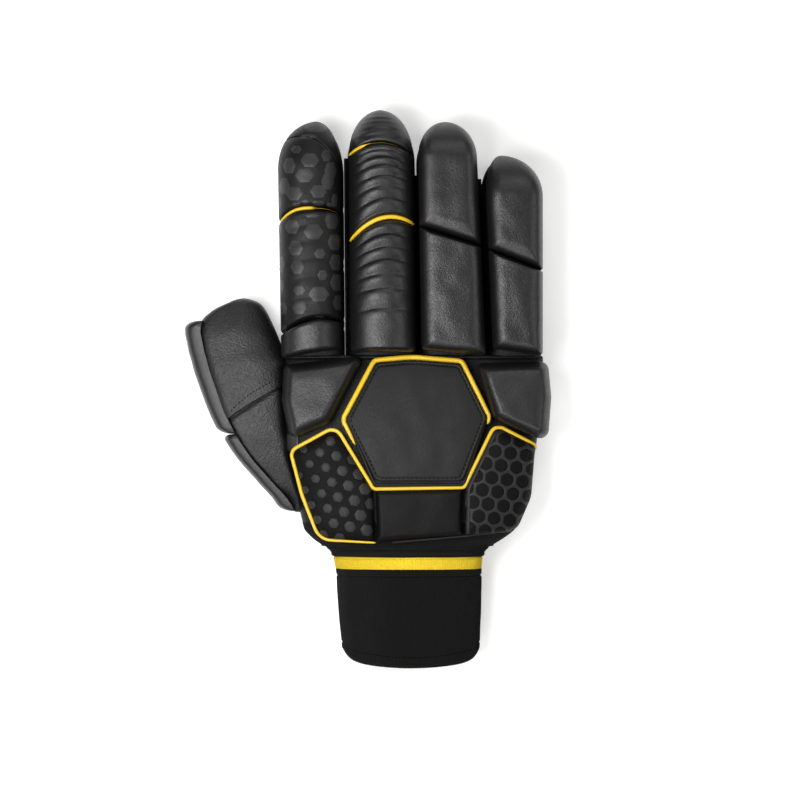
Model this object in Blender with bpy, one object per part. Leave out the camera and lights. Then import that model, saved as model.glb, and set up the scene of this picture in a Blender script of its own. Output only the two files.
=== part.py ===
"""Cricket batting glove for the right hand, lying palm down.

The fingers point to +Y, the thumb to -X and the back of the hand to +Z. Leather stalls and a
leather hand shell make one hollow glove; foam pads, blocks and panels cover its back, yellow
piping runs in their seams, and a knitted cuff closes the wrist. Lengths are in metres.
"""

import math
from collections import namedtuple

import bmesh
import bpy
from mathutils import Matrix, Vector

# Lengths of the hand, the cuff and the fingers, which are measured from the knuckle line
HAND_LENGTH = 0.1040
CUFF_LENGTH = 0.0681
INDEX_LENGTH = 0.1312
MIDDLE_LENGTH = 0.1376
RING_LENGTH = 0.1310
LITTLE_LENGTH = 0.1123
THUMB_LENGTH = 0.1190

# Widths and heights
HAND_WIDTH = 0.1512
HAND_HEIGHT = 0.0355
STALL_HEIGHT = 0.0262
THUMB_WIDTH = 0.0422
THUMB_HEIGHT = 0.0310
CUFF_WIDTH = 0.0768
CUFF_HEIGHT = 0.0365

# Foam thicknesses
FINGER_PAD = 0.0215
KNUCKLE_BLOCK = 0.0155
HEXAGON_PATCH = 0.0095
WRIST_PANEL = 0.0080
THUMB_TIP_PAD = 0.0088
THUMB_BASE_PAD = 0.0076

# Walls
LEATHER_WALL = 0.0020
KNIT_WALL = 0.0025

# Clearances between the pieces that are sewn side by side or one on the other
SEAT_GAP = 0.0005
SEAT_EASE = 0.0028
JOIN_GAP = 0.0004
PAD_SPACING = 0.0028
STALL_SPACING = 0.0008
SEAM_SPACING = 0.0012
PIPED_SEAM_SPACING = 0.0031

# Trim
PIPING_DIAMETER = 0.0020
FINGER_PIPING_DIAMETER = 0.0016
RIB_PITCH = 0.0064
RIB_DEPTH = 0.0012
STRIPE_WIDTH = 0.0066
BAND_WIDTH = 0.0061

# How far the leather is pressed flat where the glove lies on it
REST_FLAT = 0.0016
TIP_OVERHANG = 0.0030
TIP_DROOP = 0.0060
TIP_THICKNESS = 0.30  # thickness left at the very tip of a finger's pad, as a share
INDEX_STALL_INSET = 0.0044
LITTLE_STALL_INSET = 0.0012
CROWN_POINTS = 11
STALL_POINTS = 16
HAND_POINTS = 26
SHELL_SQUARENESS = 3.4
CUFF_SQUARENESS = 2.6

Finish = namedtuple("Finish", "colour roughness")
FINISHES = {
    "leather": Finish((0.022, 0.022, 0.023), 0.62),
    "foam_cover": Finish((0.045, 0.045, 0.047), 0.50),
    "patch_cover": Finish((0.030, 0.030, 0.031), 0.66),
    "piping": Finish((0.820, 0.560, 0.040), 0.42),
    "knit": Finish((0.014, 0.014, 0.014), 0.90),
    "stripe": Finish((0.850, 0.620, 0.050), 0.85),
}

# The slot borders between the fingers at the knuckle line, as shares of the hand's width from
# the index side, and how far each border leans towards +X per unit of length
Border = namedtuple("Border", "across lean")
BORDERS = [
    Border(0.018, -0.018),
    Border(0.272, -0.008),
    Border(0.533, -0.018),
    Border(0.783, -0.045),
    Border(0.995, 0.000),
]

# A seam across a finger: its crest as a share of the finger's length, how deep it bows and
# where its crest lies as shares of the half width, and its slant
Seam = namedtuple("Seam", "along bow peak slant piped")
Finger = namedtuple("Finger", "name slot length tip tip_shift section end ribbed seams")
FINGERS = [
    Finger(
        "index", 0, INDEX_LENGTH, 0.73, 0.18, "round", "rounded", (False, True, True, False),
        [
            Seam(0.028, 0.20, 0.20, 0.00, False),
            Seam(0.155, 0.34, 0.20, 0.00, False),
            Seam(0.625, 0.34, 0.15, 0.00, True),
            Seam(0.925, 0.34, -0.30, 0.00, False),
        ],
    ),
    Finger(
        "middle", 1, MIDDLE_LENGTH, 0.69, 0.00, "round", "rounded", (True, True, True),
        [
            Seam(0.020, 0.04, 0.00, 0.00, False),
            Seam(0.564, 0.42, 0.30, 0.00, True),
            Seam(0.862, 0.36, 0.00, 0.00, True),
        ],
    ),
    Finger(
        "ring", 2, RING_LENGTH, 0.57, -0.04, "bevelled", "chamfered", (False, False),
        [
            Seam(0.016, 0.00, 0.00, -0.09, False),
            Seam(0.512, 0.00, 0.00, -0.30, False),
        ],
    ),
    Finger(
        "little", 3, LITTLE_LENGTH, 0.80, -0.36, "bevelled", "chamfered", (False, False),
        [
            Seam(0.022, 0.00, 0.00, -0.12, False),
            Seam(0.480, 0.00, 0.00, -0.43, False),
        ],
    ),
]
PAD_NAMES = {
    "index": ("index_knuckle_roll", "index_lower_pad", "index_middle_pad", "index_tip_pad"),
    "middle": ("middle_lower_pad", "middle_middle_pad", "middle_tip_pad"),
    "ring": ("ring_lower_pad", "ring_tip_pad"),
    "little": ("little_lower_pad", "little_tip_pad"),
}

# The rise of a pad towards its ends: how far in, as a share of the end's length, and how high
End = namedtuple("End", "inward height")
END_LENGTHS = {"rounded": 0.0090, "chamfered": 0.0095}
ENDS = {
    "rounded": [End(0.00, 0.52), End(0.12, 0.74), End(0.35, 0.91), End(1.00, 1.00)],
    "chamfered": [End(0.00, 0.46), End(0.10, 0.56), End(0.90, 0.97), End(1.10, 1.00)],
}
UPPER_END_LENGTH = 0.0050

# The bevelled section: shares of the half width and of the thickness, from the side to the top
Corner = namedtuple("Corner", "across up")
BEVELLED_SECTION = [
    Corner(0.93, 0.00),
    Corner(1.00, 0.14),
    Corner(1.00, 0.48),
    Corner(0.90, 0.72),
    Corner(0.70, 0.93),
    Corner(0.45, 0.99),
    Corner(0.00, 1.00),
]

# The hand shell from the knuckles to the wrist: edges as shares of the hand's width, and how
# far its height has risen from the stalls' to the hand's
HandRow = namedtuple("HandRow", "along left right rise")
HAND_ROWS = [
    HandRow(0.00, 0.024, 0.990, 0.00),
    HandRow(0.12, 0.024, 0.993, 0.35),
    HandRow(0.30, 0.028, 0.984, 0.70),
    HandRow(0.50, 0.044, 0.962, 0.92),
    HandRow(0.66, 0.070, 0.950, 1.00),
    HandRow(0.80, 0.092, 0.925, 1.00),
    HandRow(0.90, 0.108, 0.893, 0.98),
    HandRow(0.95, 0.135, 0.855, 0.96),
    HandRow(1.00, 0.178, 0.803, 0.94),
]

# The thumb from its root to its tip: width and distance from the hand as shares of its width,
# and height as a share of its height
ThumbRow = namedtuple("ThumbRow", "along width away height")
THUMB_ROWS = [
    ThumbRow(0.000, 0.06, 0.00, 0.35),
    ThumbRow(0.056, 0.12, 0.00, 0.55),
    ThumbRow(0.130, 0.26, 0.00, 0.72),
    ThumbRow(0.257, 0.48, 0.00, 0.90),
    ThumbRow(0.400, 0.675, 0.00, 0.99),
    ThumbRow(0.588, 0.865, 0.00, 1.00),
    ThumbRow(0.695, 0.96, 0.00, 1.00),
    ThumbRow(0.760, 0.99, 0.02, 0.98),
    ThumbRow(0.830, 0.97, 0.08, 0.95),
    ThumbRow(0.893, 0.88, 0.15, 0.87),
    ThumbRow(0.940, 0.69, 0.21, 0.75),
    ThumbRow(0.975, 0.43, 0.28, 0.60),
    ThumbRow(0.998, 0.14, 0.40, 0.38),
]
THUMB_ROOT = 0.825  # share of the hand's length at which the thumb's root lies
THUMB_PAD_SPAN = (0.004, 0.895)
THUMB_PAD_JOINT = 0.362
THUMB_PAD_SPACING = 0.0016
THUMB_PAD_HEIGHT = 0.0285
THUMB_WINDOW_SPAN = (0.30, 0.56)
THUMB_WINDOW_HEIGHT = 0.0170

# Seam lines on the back of the hand, as shares of the hand's width from the index side and of
# its length from the knuckles, with the radius of each rounded corner. Piping lies on a seam
# line, and a pad's edge stands inside it.
Point = namedtuple("Point", "across along radius")
INDEX_BLOCK = [
    Point(0.030, 0.032, 0.0035),
    Point(0.316, -0.020, 0.0035),
    Point(0.329, 0.018, 0.0025),
    Point(0.212, 0.356, 0.0055),
    Point(0.058, 0.449, 0.0045),
    Point(0.024, 0.230, 0.0100),
]
LITTLE_BLOCK = [
    Point(0.730, 0.022, 0.0030),
    Point(1.012, 0.010, 0.0050),
    Point(1.024, 0.210, 0.0210),
    Point(1.010, 0.467, 0.0050),
    Point(0.800, 0.332, 0.0055),
]
HEXAGON = [
    Point(0.254, 0.330, 0.0040),
    Point(0.369, 0.014, 0.0040),
    Point(0.504, -0.003, 0.0600),
    Point(0.689, 0.018, 0.0040),
    Point(0.791, 0.318, 0.0040),
    Point(0.693, 0.656, 0.0040),
    Point(0.376, 0.658, 0.0040),
]
HEXAGON_PIPING_START = Point(0.300, 0.470, 0.0)
HEXAGON_PIPING_END = Point(0.778, 0.375, 0.0)
PANEL_TOP = [Point(0.367, 0.699, 0.0015), Point(0.697, 0.690, 0.0015)]
PANEL_FOOT = [Point(0.375, 0.985, 0.0015), Point(0.694, 0.952, 0.0015)]
LEFT_SEAM = [
    Point(0.168, 0.968, 0.0100),
    Point(0.104, 0.730, 0.0200),
    Point(0.062, 0.497, 0.0045),
    Point(0.227, 0.365, 0.0060),
]
RIGHT_SEAM = [
    Point(0.811, 0.354, 0.0050),
    Point(0.975, 0.480, 0.0045),
    Point(0.958, 0.760, 0.0200),
    Point(0.897, 0.944, 0.0080),
]
RIGHT_PIPING_END = Point(0.974, 0.505, 0.0)
LEFT_PANEL = [PANEL_FOOT[0], *LEFT_SEAM, PANEL_TOP[0]]
BOTTOM_BLOCK = [*PANEL_TOP, PANEL_FOOT[1], PANEL_FOOT[0]]
RIGHT_PANEL = [PANEL_TOP[1], *RIGHT_SEAM, PANEL_FOOT[1]]
HEXAGON_PIPING = [HEXAGON_PIPING_START, *HEXAGON[:5], HEXAGON_PIPING_END]
PANEL_PIPING = [PANEL_FOOT[0], *LEFT_SEAM, *PANEL_TOP, *RIGHT_SEAM[:2], RIGHT_PIPING_END]
# How a pad's edge rises from its seam to its crown: shares of the outline's size and thickness
Ring = namedtuple("Ring", "size up")
PAD_RINGS = [
    Ring(0.965, 0.00),
    Ring(1.000, 0.16),
    Ring(1.000, 0.44),
    Ring(0.960, 0.74),
    Ring(0.860, 0.94),
    Ring(0.550, 1.02),
]
PAD_FLOOR_RINGS = (0.870, 0.620)


def left_of_hand():
    """The x of the index side, from which shares of the hand's width are counted."""
    return -HAND_WIDTH / 2


def at_share(across):
    return left_of_hand() + across * HAND_WIDTH


def between(low, high, share):
    return low + (high - low) * share


def interpolated(rows, along):
    """The row of a table at a share between its rows, each column in proportion."""
    along = min(max(along, rows[0].along), rows[-1].along)
    for low, high in zip(rows, rows[1:]):
        if along <= high.along:
            share = (along - low.along) / (high.along - low.along)
            return type(low)(*(between(a, b, share) for a, b in zip(low, high)))
    return rows[-1]


def smooth_power(value, power):
    return math.copysign(abs(value) ** power, value)


def flattened_section(left, right, low, high, squareness, count, floor):
    """Points around a soft tube, clockwise seen from its root, pressed flat where it lies."""
    middle, half = (left + right) / 2, (right - left) / 2
    centre, rise = (low + high) / 2, (high - low) / 2
    points = []
    for step in range(count):
        angle = 2 * math.pi * (step + 0.5) / count
        x = middle + half * smooth_power(math.cos(angle), 2 / squareness)
        z = centre + rise * smooth_power(math.sin(angle), 2 / squareness)
        points.append((x, max(z, floor)))
    return points


class Builder:
    """Collects rings of points into one closed mesh and makes it a named object."""

    def __init__(self):
        self.mesh = bmesh.new()

    def bridge(self, first, second):
        """Joins two rings of as many points with a band of quads."""
        following = zip(first[1:] + first[:1], second[1:] + second[:1])
        for a, b, (next_a, next_b) in zip(first, second, following):
            self.mesh.faces.new((a, next_a, next_b, b))

    def loft(self, rings):
        """Bridges rings of points in order and returns the first and the last of them."""
        made = [[self.mesh.verts.new(point) for point in points] for points in rings]
        for first, second in zip(made, made[1:]):
            self.bridge(first, second)
        return made[0], made[-1]

    def cap(self, ring):
        """Closes a ring with strips from each side to the other, so that it keeps a bow."""
        low, high = 0, len(ring) - 1
        while high - low > 2:
            self.mesh.faces.new((ring[low], ring[low + 1], ring[high - 1], ring[high]))
            low, high = low + 1, high - 1
        if high - low == 2:
            self.mesh.faces.new(ring[low : high + 1])

    def fan(self, ring, centre):
        """Closes a ring with triangles to one point."""
        tip = self.mesh.verts.new(centre)
        for first, second in zip(ring, ring[1:] + ring[:1]):
            self.mesh.faces.new((first, second, tip))

    def finish(self, name, finish):
        bmesh.ops.recalc_face_normals(self.mesh, faces=self.mesh.faces)
        if self.mesh.calc_volume(signed=True) < 0:
            bmesh.ops.reverse_faces(self.mesh, faces=self.mesh.faces)
        data = bpy.data.meshes.new(name)
        self.mesh.to_mesh(data)
        self.mesh.free()
        data.shade_smooth()
        data.set_sharp_from_angle(angle=math.radians(40))
        data.materials.append(material(finish))
        return linked(bpy.data.objects.new(name, data))


def linked(piece):
    bpy.context.scene.collection.objects.link(piece)
    piece.parent = bpy.data.objects["glove"]
    return piece


def material(name):
    found = bpy.data.materials.get(name)
    if found:
        return found
    made = bpy.data.materials.new(name)
    made.use_nodes = True
    surface = made.node_tree.nodes["Principled BSDF"]
    surface.inputs["Base Color"].default_value = (*FINISHES[name].colour, 1.0)
    surface.inputs["Roughness"].default_value = FINISHES[name].roughness
    surface.inputs["Metallic"].default_value = 0.0
    return made


def cut_away(piece, cutter):
    """Cuts one shape out of another and keeps the cutter as a hidden helper."""
    cutter.hide_render = True
    cutter.display_type = "WIRE"
    cut = piece.modifiers.new(f"cut_{cutter.name}", "BOOLEAN")
    cut.operation = "DIFFERENCE"
    cut.object = cutter


# Hand shell

def hand_section(along):
    """Left edge, right edge and height of the hand shell at a share of its length."""
    row = interpolated(HAND_ROWS, along)
    height = between(STALL_HEIGHT, HAND_HEIGHT, row.rise)
    return at_share(row.left), at_share(row.right), height


def back_height(x, y):
    """The height of the back of the hand under a point of its plan."""
    left, right, height = hand_section(-y / HAND_LENGTH)
    half = (right - left) / 2 + SEAT_EASE
    across = min(abs(x - (left + right) / 2) / half, 0.985)
    top = (1 - across**SHELL_SQUARENESS) ** (1 / SHELL_SQUARENESS)
    return -REST_FLAT + (height + REST_FLAT) * (1 + top) / 2


def hand_ring(along, inward):
    left, right, height = hand_section(along)
    section = flattened_section(
        left + inward, right - inward, inward - REST_FLAT, height - inward,
        SHELL_SQUARENESS, HAND_POINTS, inward,
    )
    return [(x, -along * HAND_LENGTH, z) for x, z in section]


def make_hand_shell():
    """The leather hand, open to the finger stalls in front and to the wrist behind."""
    build = Builder()
    outer = build.loft([hand_ring(row.along, 0.0) for row in HAND_ROWS])
    inner = build.loft([hand_ring(row.along, LEATHER_WALL) for row in HAND_ROWS])
    build.bridge(outer[0], inner[0])
    build.bridge(outer[1], inner[1])
    return build.finish("hand_shell", "leather")


# Finger stalls

def slot(finger, y):
    """The borders of a finger's slot at a distance from the knuckle line."""
    low, high = BORDERS[finger.slot], BORDERS[finger.slot + 1]
    return at_share(low.across) + low.lean * y, at_share(high.across) + high.lean * y


def finger_width(finger):
    left, right = slot(finger, 0.0)
    return right - left - PAD_SPACING


def tip_share(from_tip, tip_length):
    """How wide a round tip is at a distance from its end, as a share of the full width."""
    if from_tip >= tip_length:
        return 1.0
    return math.sqrt(max(1 - ((tip_length - from_tip) / tip_length) ** 2, 0.0))


def droop(finger, y):
    """How far the top of a stall, and the pad on it, has curled down near the finger's tip."""
    tip_length = finger.tip * finger_width(finger)
    inside = min(max(1 - (finger.length - y) / tip_length, 0.0), 1.0)
    return TIP_DROOP * inside**2


def stall_ring(finger, y, end, inward):
    left, right = slot(finger, y)
    left += STALL_SPACING / 2 + (INDEX_STALL_INSET if finger.slot == 0 else 0.0) + inward
    right -= STALL_SPACING / 2 + (LITTLE_STALL_INSET if finger.slot == 3 else 0.0) + inward
    tip_length = finger.tip * finger_width(finger) * 0.8
    share = tip_share(end - y, tip_length)
    shift = finger.tip_shift * (right - left) / 2 * (1 - share)
    middle, half = (left + right) / 2 + shift, (right - left) / 2 * share
    top = STALL_HEIGHT - droop(finger, y) - inward
    low = inward - REST_FLAT
    lift = (top - low) * 0.36 * (1 - share**0.7)
    section = flattened_section(
        middle - half, middle + half, low + lift, top - lift,
        SHELL_SQUARENESS, STALL_POINTS, inward,
    )
    return [(x, y, z) for x, z in section]


def make_stall(finger):
    """A leather tube for one finger, open at its root and closed at its tip."""
    build = Builder()
    root = JOIN_GAP
    end = finger.length - TIP_OVERHANG
    tip_length = finger.tip * finger_width(finger) * 0.8

    def stations(stop):
        return [root] + [stop - tip_length * share for share in (1.0, 0.6, 0.32, 0.14, 0.04)]

    outer = build.loft([stall_ring(finger, y, end, 0.0) for y in stations(end)])
    inner_end = end - LEATHER_WALL
    inner = build.loft([stall_ring(finger, y, inner_end, LEATHER_WALL) for y in stations(inner_end)])
    build.bridge(outer[0], inner[0])
    build.cap(outer[1])
    build.cap(inner[1])
    return build.finish(f"{finger.name}_stall", "leather")


# Finger pads

def seam_at(finger, seams, share):
    """The seam's shape between two seams of a finger, or between its last seam and its tip."""
    low, high = seams
    return Seam(*(between(a, b, share) for a, b in zip(low, high)))


def crown_section(kind):
    """Points over a pad from its left foot to its right foot, as shares of half width and height."""
    if kind == "bevelled":
        side = [(corner.across, corner.up) for corner in BEVELLED_SECTION]
        return [(-x, z) for x, z in side] + side[-2::-1]
    points = [(-0.93, 0.0)]
    for step in range(CROWN_POINTS):
        angle = math.pi * (1 - step / (CROWN_POINTS - 1))
        across = smooth_power(math.cos(angle), 0.86)
        points.append((across, 0.12 + 0.88 * math.sin(angle) ** 0.86))
    return points + [(0.93, 0.0)]


def seam_y(finger, seam, y, u, width):
    """Where a bowed or slanted line across the finger lies at a share u of its half width."""
    bow = seam.bow * width / 2 * (u - seam.peak) ** 2
    return y - bow + seam.slant * u * width / 2


def pad_ring(finger, seam, y, height, inward):
    """One section of a finger pad. Its line across the finger has the seam's bow and slant."""
    left, right = slot(finger, y)
    width = finger_width(finger)
    middle, half = (left + right) / 2, (right - left - PAD_SPACING) / 2
    ring = []
    for u, up in crown_section(finger.section):
        line = seam_y(finger, seam, y, u * inward, width)
        share = tip_share(finger.length - line, finger.tip * width)
        x = middle + half * (u * inward * share + finger.tip_shift * (1 - share))
        foot = STALL_HEIGHT + SEAT_GAP - droop(finger, line)
        ring.append((x, line, foot + up * height * between(TIP_THICKNESS, 1.0, share)))
    return ring


def end_height(finger, from_low, from_high, is_tip):
    """How high a pad stands near its two ends, as a share of its thickness."""
    rows = ENDS[finger.end]
    low = from_low / END_LENGTHS[finger.end]
    high = from_high / UPPER_END_LENGTH
    height = 1.0
    for inward, table in ((low, rows), (math.inf if is_tip else high, ENDS["rounded"])):
        for first, second in zip(table, table[1:]):
            if first.inward <= inward <= second.inward:
                share = (inward - first.inward) / (second.inward - first.inward)
                height = min(height, between(first.height, second.height, share))
    return height


def rib_height(from_low, length):
    """A row of soft ribs along a pad that fades out towards its lower end."""
    wave = 0.5 - 0.5 * math.cos(2 * math.pi * from_low / RIB_PITCH)
    fade = min(max((from_low - 0.35 * RIB_PITCH) / (2.0 * RIB_PITCH), 0.0), 1.0)
    fade *= min(max((length - from_low) / RIB_PITCH, 0.0), 1.0)
    return -RIB_DEPTH * wave * fade


def pad_stations(finger, length, is_tip, ribbed):
    """Distances from a pad's lower end at which it has a section."""
    end = END_LENGTHS[finger.end]
    near = [row.inward * end for row in ENDS[finger.end]]
    if is_tip:
        tip = min(finger.tip * finger_width(finger), length * 0.9)
        far = [length - tip * share for share in (0.75, 0.5, 0.3, 0.16, 0.07, 0.02)]
    else:
        far = [length - row.inward * UPPER_END_LENGTH for row in reversed(ENDS["rounded"])]
    stations = {round(d, 6) for d in near if d < length * 0.5}
    stations |= {round(d, 6) for d in far if d > max(stations)}
    if ribbed:
        step = RIB_PITCH / 2
        ribs = [step * count for count in range(1, int(length / step))]
        stations |= {
            round(d, 6) for d in ribs
            if d < length - UPPER_END_LENGTH and min(abs(d - s) for s in stations) > step * 0.45
        }
    elif length > 4 * end:
        stations.add(round(length * 0.5, 6))
    return sorted(stations)


def make_finger_pad(finger, number):
    """One foam pad between two seams of a finger, or between its last seam and its tip."""
    seams = finger.seams
    low = seams[number]
    is_tip = number == len(seams) - 1
    high = Seam(1.0, 0.0, low.peak, 0.0, False) if is_tip else seams[number + 1]
    start = low.along * finger.length + spacing(low) / 2
    stop = high.along * finger.length - (0.0 if is_tip else spacing(high) / 2)
    build = Builder()
    rings = []
    for distance in pad_stations(finger, stop - start, is_tip, finger.ribbed[number]):
        share = distance / (stop - start)
        height = FINGER_PAD * end_height(finger, distance, stop - start - distance, is_tip)
        if finger.ribbed[number]:
            height += rib_height(distance, stop - start)
        at_end = distance == 0 or (not is_tip and distance >= stop - start)
        seam = seam_at(finger, (low, high), share)
        rings.append(pad_ring(finger, seam, start + distance, height, 0.96 if at_end else 1.0))
    first, last = build.loft(rings)
    build.cap(first)
    build.cap(last)
    return build.finish(PAD_NAMES[finger.name][number], "foam_cover")


def spacing(seam):
    return PIPED_SEAM_SPACING if seam.piped else SEAM_SPACING


def make_piping(name, path, diameter):
    """A round cord of yellow piping along a path of points."""
    curve = bpy.data.curves.new(name, "CURVE")
    curve.dimensions = "3D"
    curve.bevel_depth = diameter / 2
    curve.bevel_resolution = 1
    curve.use_fill_caps = True
    curve.materials.append(material("piping"))
    spline = curve.splines.new("POLY")
    spline.points.add(len(path) - 1)
    for point, place in zip(spline.points, path):
        point.co = (*place, 1.0)
    return linked(bpy.data.objects.new(name, curve))


def make_finger_piping(finger, seam, name):
    """Piping laid over the crown of a finger, in the seam between two pads."""
    y = seam.along * finger.length
    left, right = slot(finger, y)
    pad_half = (right - left - PAD_SPACING) / 2
    half = pad_half - FINGER_PIPING_DIAMETER
    width = finger_width(finger)
    height = FINGER_PAD * 0.80
    path = []
    for u, up in crown_section("round")[1:-1]:
        line = seam_y(finger, seam, y, u * half / pad_half, width)
        foot = STALL_HEIGHT + SEAT_GAP + FINGER_PIPING_DIAMETER / 2 - droop(finger, line)
        path.append(((left + right) / 2 + u * half, line, foot + up * height))
    return make_piping(name, path, FINGER_PIPING_DIAMETER)


# Pads on the back of the hand

def placed(point):
    return Vector((at_share(point.across), -point.along * HAND_LENGTH))


def corner_sides(corners, number):
    """A corner's place, the lengths of its two sides, their directions and half its angle."""
    before = corners[number - 1] - corners[number]
    after = corners[(number + 1) % len(corners)] - corners[number]
    shorter = min(before.length, after.length)
    before.normalize()
    after.normalize()
    return shorter, before, after, before.angle(after) / 2


def inset(points, distance):
    """The corners of a convex seam line with every side moved inwards by a distance."""
    corners = [placed(point) for point in points]
    moved = []
    for number, corner in enumerate(corners):
        _, before, after, half_angle = corner_sides(corners, number)
        moved.append(corner + (before + after).normalized() * (distance / math.sin(half_angle)))
    return moved


def rounded(corners, points, step, closed=True):
    """An outline or a path with its corners turned into arcs, as points of the plan."""
    outline = []
    for number, corner in enumerate(corners):
        if not closed and number in (0, len(corners) - 1):
            outline.append(corner)
            continue
        shorter, before, after, half_angle = corner_sides(corners, number)
        reach = min(points[number].radius / math.tan(half_angle), shorter * 0.48)
        radius = reach * math.tan(half_angle)
        centre = corner + (before + after).normalized() * (radius / math.sin(half_angle))
        start = corner + before * reach - centre
        turn = start.angle_signed(corner + after * reach - centre, 0.0)
        count = max(2, round(abs(turn) * 4 / math.pi))
        for arc_step in range(count + 1):
            outline.append(centre + Matrix.Rotation(-turn * arc_step / count, 2) @ start)
    return divided(outline, step, closed)


def divided(outline, step, closed):
    """The same outline with no stretch longer than a step."""
    ends = outline[1:] + outline[:1] if closed else outline[1:]
    points = []
    for first, second in zip(outline, ends):
        count = max(1, math.ceil((second - first).length / step))
        points += [first.lerp(second, share / count) for share in range(count)]
    return points if closed else points + [outline[-1]]


def make_back_pad(name, points, thickness, finish, step=0.0100):
    """A foam pad with a rounded edge and a crowned top, seated on the back of the hand."""
    build = Builder()
    plan = rounded(inset(points, PIPING_DIAMETER / 2 + JOIN_GAP), points, step)
    centre = sum(plan, Vector((0.0, 0.0))) / len(plan)

    def ring(size, up):
        points = []
        for corner in plan:
            place = centre + (corner - centre) * size
            points.append((*place, back_height(*place) + SEAT_GAP + up * thickness))
        return points

    floor = [ring(size, 0.0) for size in reversed(PAD_FLOOR_RINGS)]
    sides = [ring(row.size, row.up) for row in PAD_RINGS]
    first, last = build.loft(floor + sides)
    low = back_height(*centre) + SEAT_GAP
    build.fan(first, (*centre, low))
    build.fan(last, (*centre, low + PAD_RINGS[-1].up * thickness))
    return build.finish(name, finish)


def make_back_piping(name, points, step=0.0090):
    """Piping laid on the back of the hand along the edge of a pad."""
    lift = SEAT_GAP + PIPING_DIAMETER / 2
    plan = rounded([placed(point) for point in points], points, step, closed=False)
    path = [(*place, back_height(*place) + lift) for place in plan]
    return make_piping(name, path, PIPING_DIAMETER)


# Thumb

def thumb_y(along):
    return -THUMB_ROOT * HAND_LENGTH + along * THUMB_LENGTH


def thumb_edges(along):
    """The right and left edges of the thumb stall at a share of its length."""
    row = interpolated(THUMB_ROWS, along)
    beside = hand_section(max(-thumb_y(along) / HAND_LENGTH, 0.0))[0]
    right = beside - JOIN_GAP - row.away * THUMB_WIDTH
    return right - row.width * THUMB_WIDTH, right, row.height * THUMB_HEIGHT


def thumb_ring(along, inward):
    left, right, height = thumb_edges(along)
    lift = (THUMB_HEIGHT - height) * 0.42
    section = flattened_section(
        left + inward, right - inward, lift + inward - REST_FLAT, lift + height - inward,
        SHELL_SQUARENESS, STALL_POINTS, inward,
    )
    return [(x, thumb_y(along), z) for x, z in section]


def thumb_solid(name, rows, inward):
    build = Builder()
    first, last = build.loft([thumb_ring(along, inward) for along in rows])
    build.cap(first)
    build.cap(last)
    return build.finish(name, "leather")


def make_window_cutter():
    """A passage through the walls between the hand and the thumb."""
    low, high = (thumb_y(share) for share in THUMB_WINDOW_SPAN)
    reach = THUMB_WIDTH * 0.26
    build = Builder()
    middle = THUMB_HEIGHT * 0.47
    sides = []
    for away in (-1, 1):
        ring = []
        for step in range(12):
            angle = 2 * math.pi * step / 12
            y = between(low, high, 0.5 + 0.5 * smooth_power(math.cos(angle), 0.7))
            z = middle + THUMB_WINDOW_HEIGHT / 2 * smooth_power(math.sin(angle), 0.7)
            beside = hand_section(-y / HAND_LENGTH)[0]
            ring.append((beside + away * reach, y, z))
        sides.append(ring)
    first, last = build.loft(sides)
    build.cap(first)
    build.cap(last)
    return build.finish("thumb_window", "leather")


def make_thumb(hand_shell):
    """The leather thumb, hollow, and open to the hand through a passage in both walls."""
    thumb = thumb_solid("thumb_stall", [row.along for row in THUMB_ROWS], 0.0)
    rows = [0.20] + [row.along for row in THUMB_ROWS if 0.25 < row.along < 0.96]
    cut_away(thumb, thumb_solid("thumb_hollow", rows, LEATHER_WALL))
    window = make_window_cutter()
    cut_away(thumb, window)
    cut_away(hand_shell, window)
    return thumb


def make_thumb_pad(name, low, high, thickness):
    """A foam roll along the outer side of the thumb, flat against the leather."""
    build = Builder()
    stations = [0.0, 0.04, 0.12, 0.26, 0.42, 0.58, 0.74, 0.88, 0.96, 1.0]
    swell = [0.45, 0.74, 0.94, 1.0, 1.0, 1.0, 1.0, 0.94, 0.74, 0.45]
    rings = []
    for share, full in zip(stations, swell):
        along = between(low, high, share) / THUMB_LENGTH
        face = thumb_edges(along)[0] - SEAT_GAP
        middle = THUMB_HEIGHT * 0.5
        ring = []
        for u, up in crown_section("round"):
            half = THUMB_PAD_HEIGHT / 2 * between(0.82, 1.0, full)
            ring.append((face - up * thickness * full, thumb_y(along), middle + u * half))
        rings.append(ring)
    first, last = build.loft(rings)
    build.cap(first)
    build.cap(last)
    return build.finish(name, "foam_cover")


# Wrist and cuff

CuffRow = namedtuple("CuffRow", "along narrowing shift")
CUFF_ROWS = [
    CuffRow(0.00, 0.00, 0.00),
    CuffRow(0.06, 0.42, 0.08),
    CuffRow(0.13, 0.66, 0.20),
    CuffRow(0.26, 0.76, 0.42),
    CuffRow(0.60, 0.86, 0.75),
    CuffRow(1.00, 1.00, 1.00),
]
CUFF_SHIFT = 0.0018
HEM_BOW = 0.0068


def cuff_ring(distance, inward):
    """A section of the wrist at a distance behind the hand shell."""
    row = interpolated(CUFF_ROWS, distance / CUFF_LENGTH)
    left, right, height = hand_section(1.0)
    width = between(right - left, CUFF_WIDTH, row.narrowing)
    height = between(height, CUFF_HEIGHT, row.narrowing)
    middle = (left + right) / 2 + CUFF_SHIFT * row.shift
    squareness = between(SHELL_SQUARENESS, CUFF_SQUARENESS, row.narrowing)
    bow = HEM_BOW * (distance / CUFF_LENGTH) ** 2
    ring = []
    for x, z in flattened_section(
        middle - width / 2 + inward, middle + width / 2 - inward,
        inward - REST_FLAT, height - inward, squareness, HAND_POINTS, inward,
    ):
        u = (x - middle) / (width / 2)
        ring.append((x, -HAND_LENGTH - distance + bow * u * u, z))
    return ring


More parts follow.
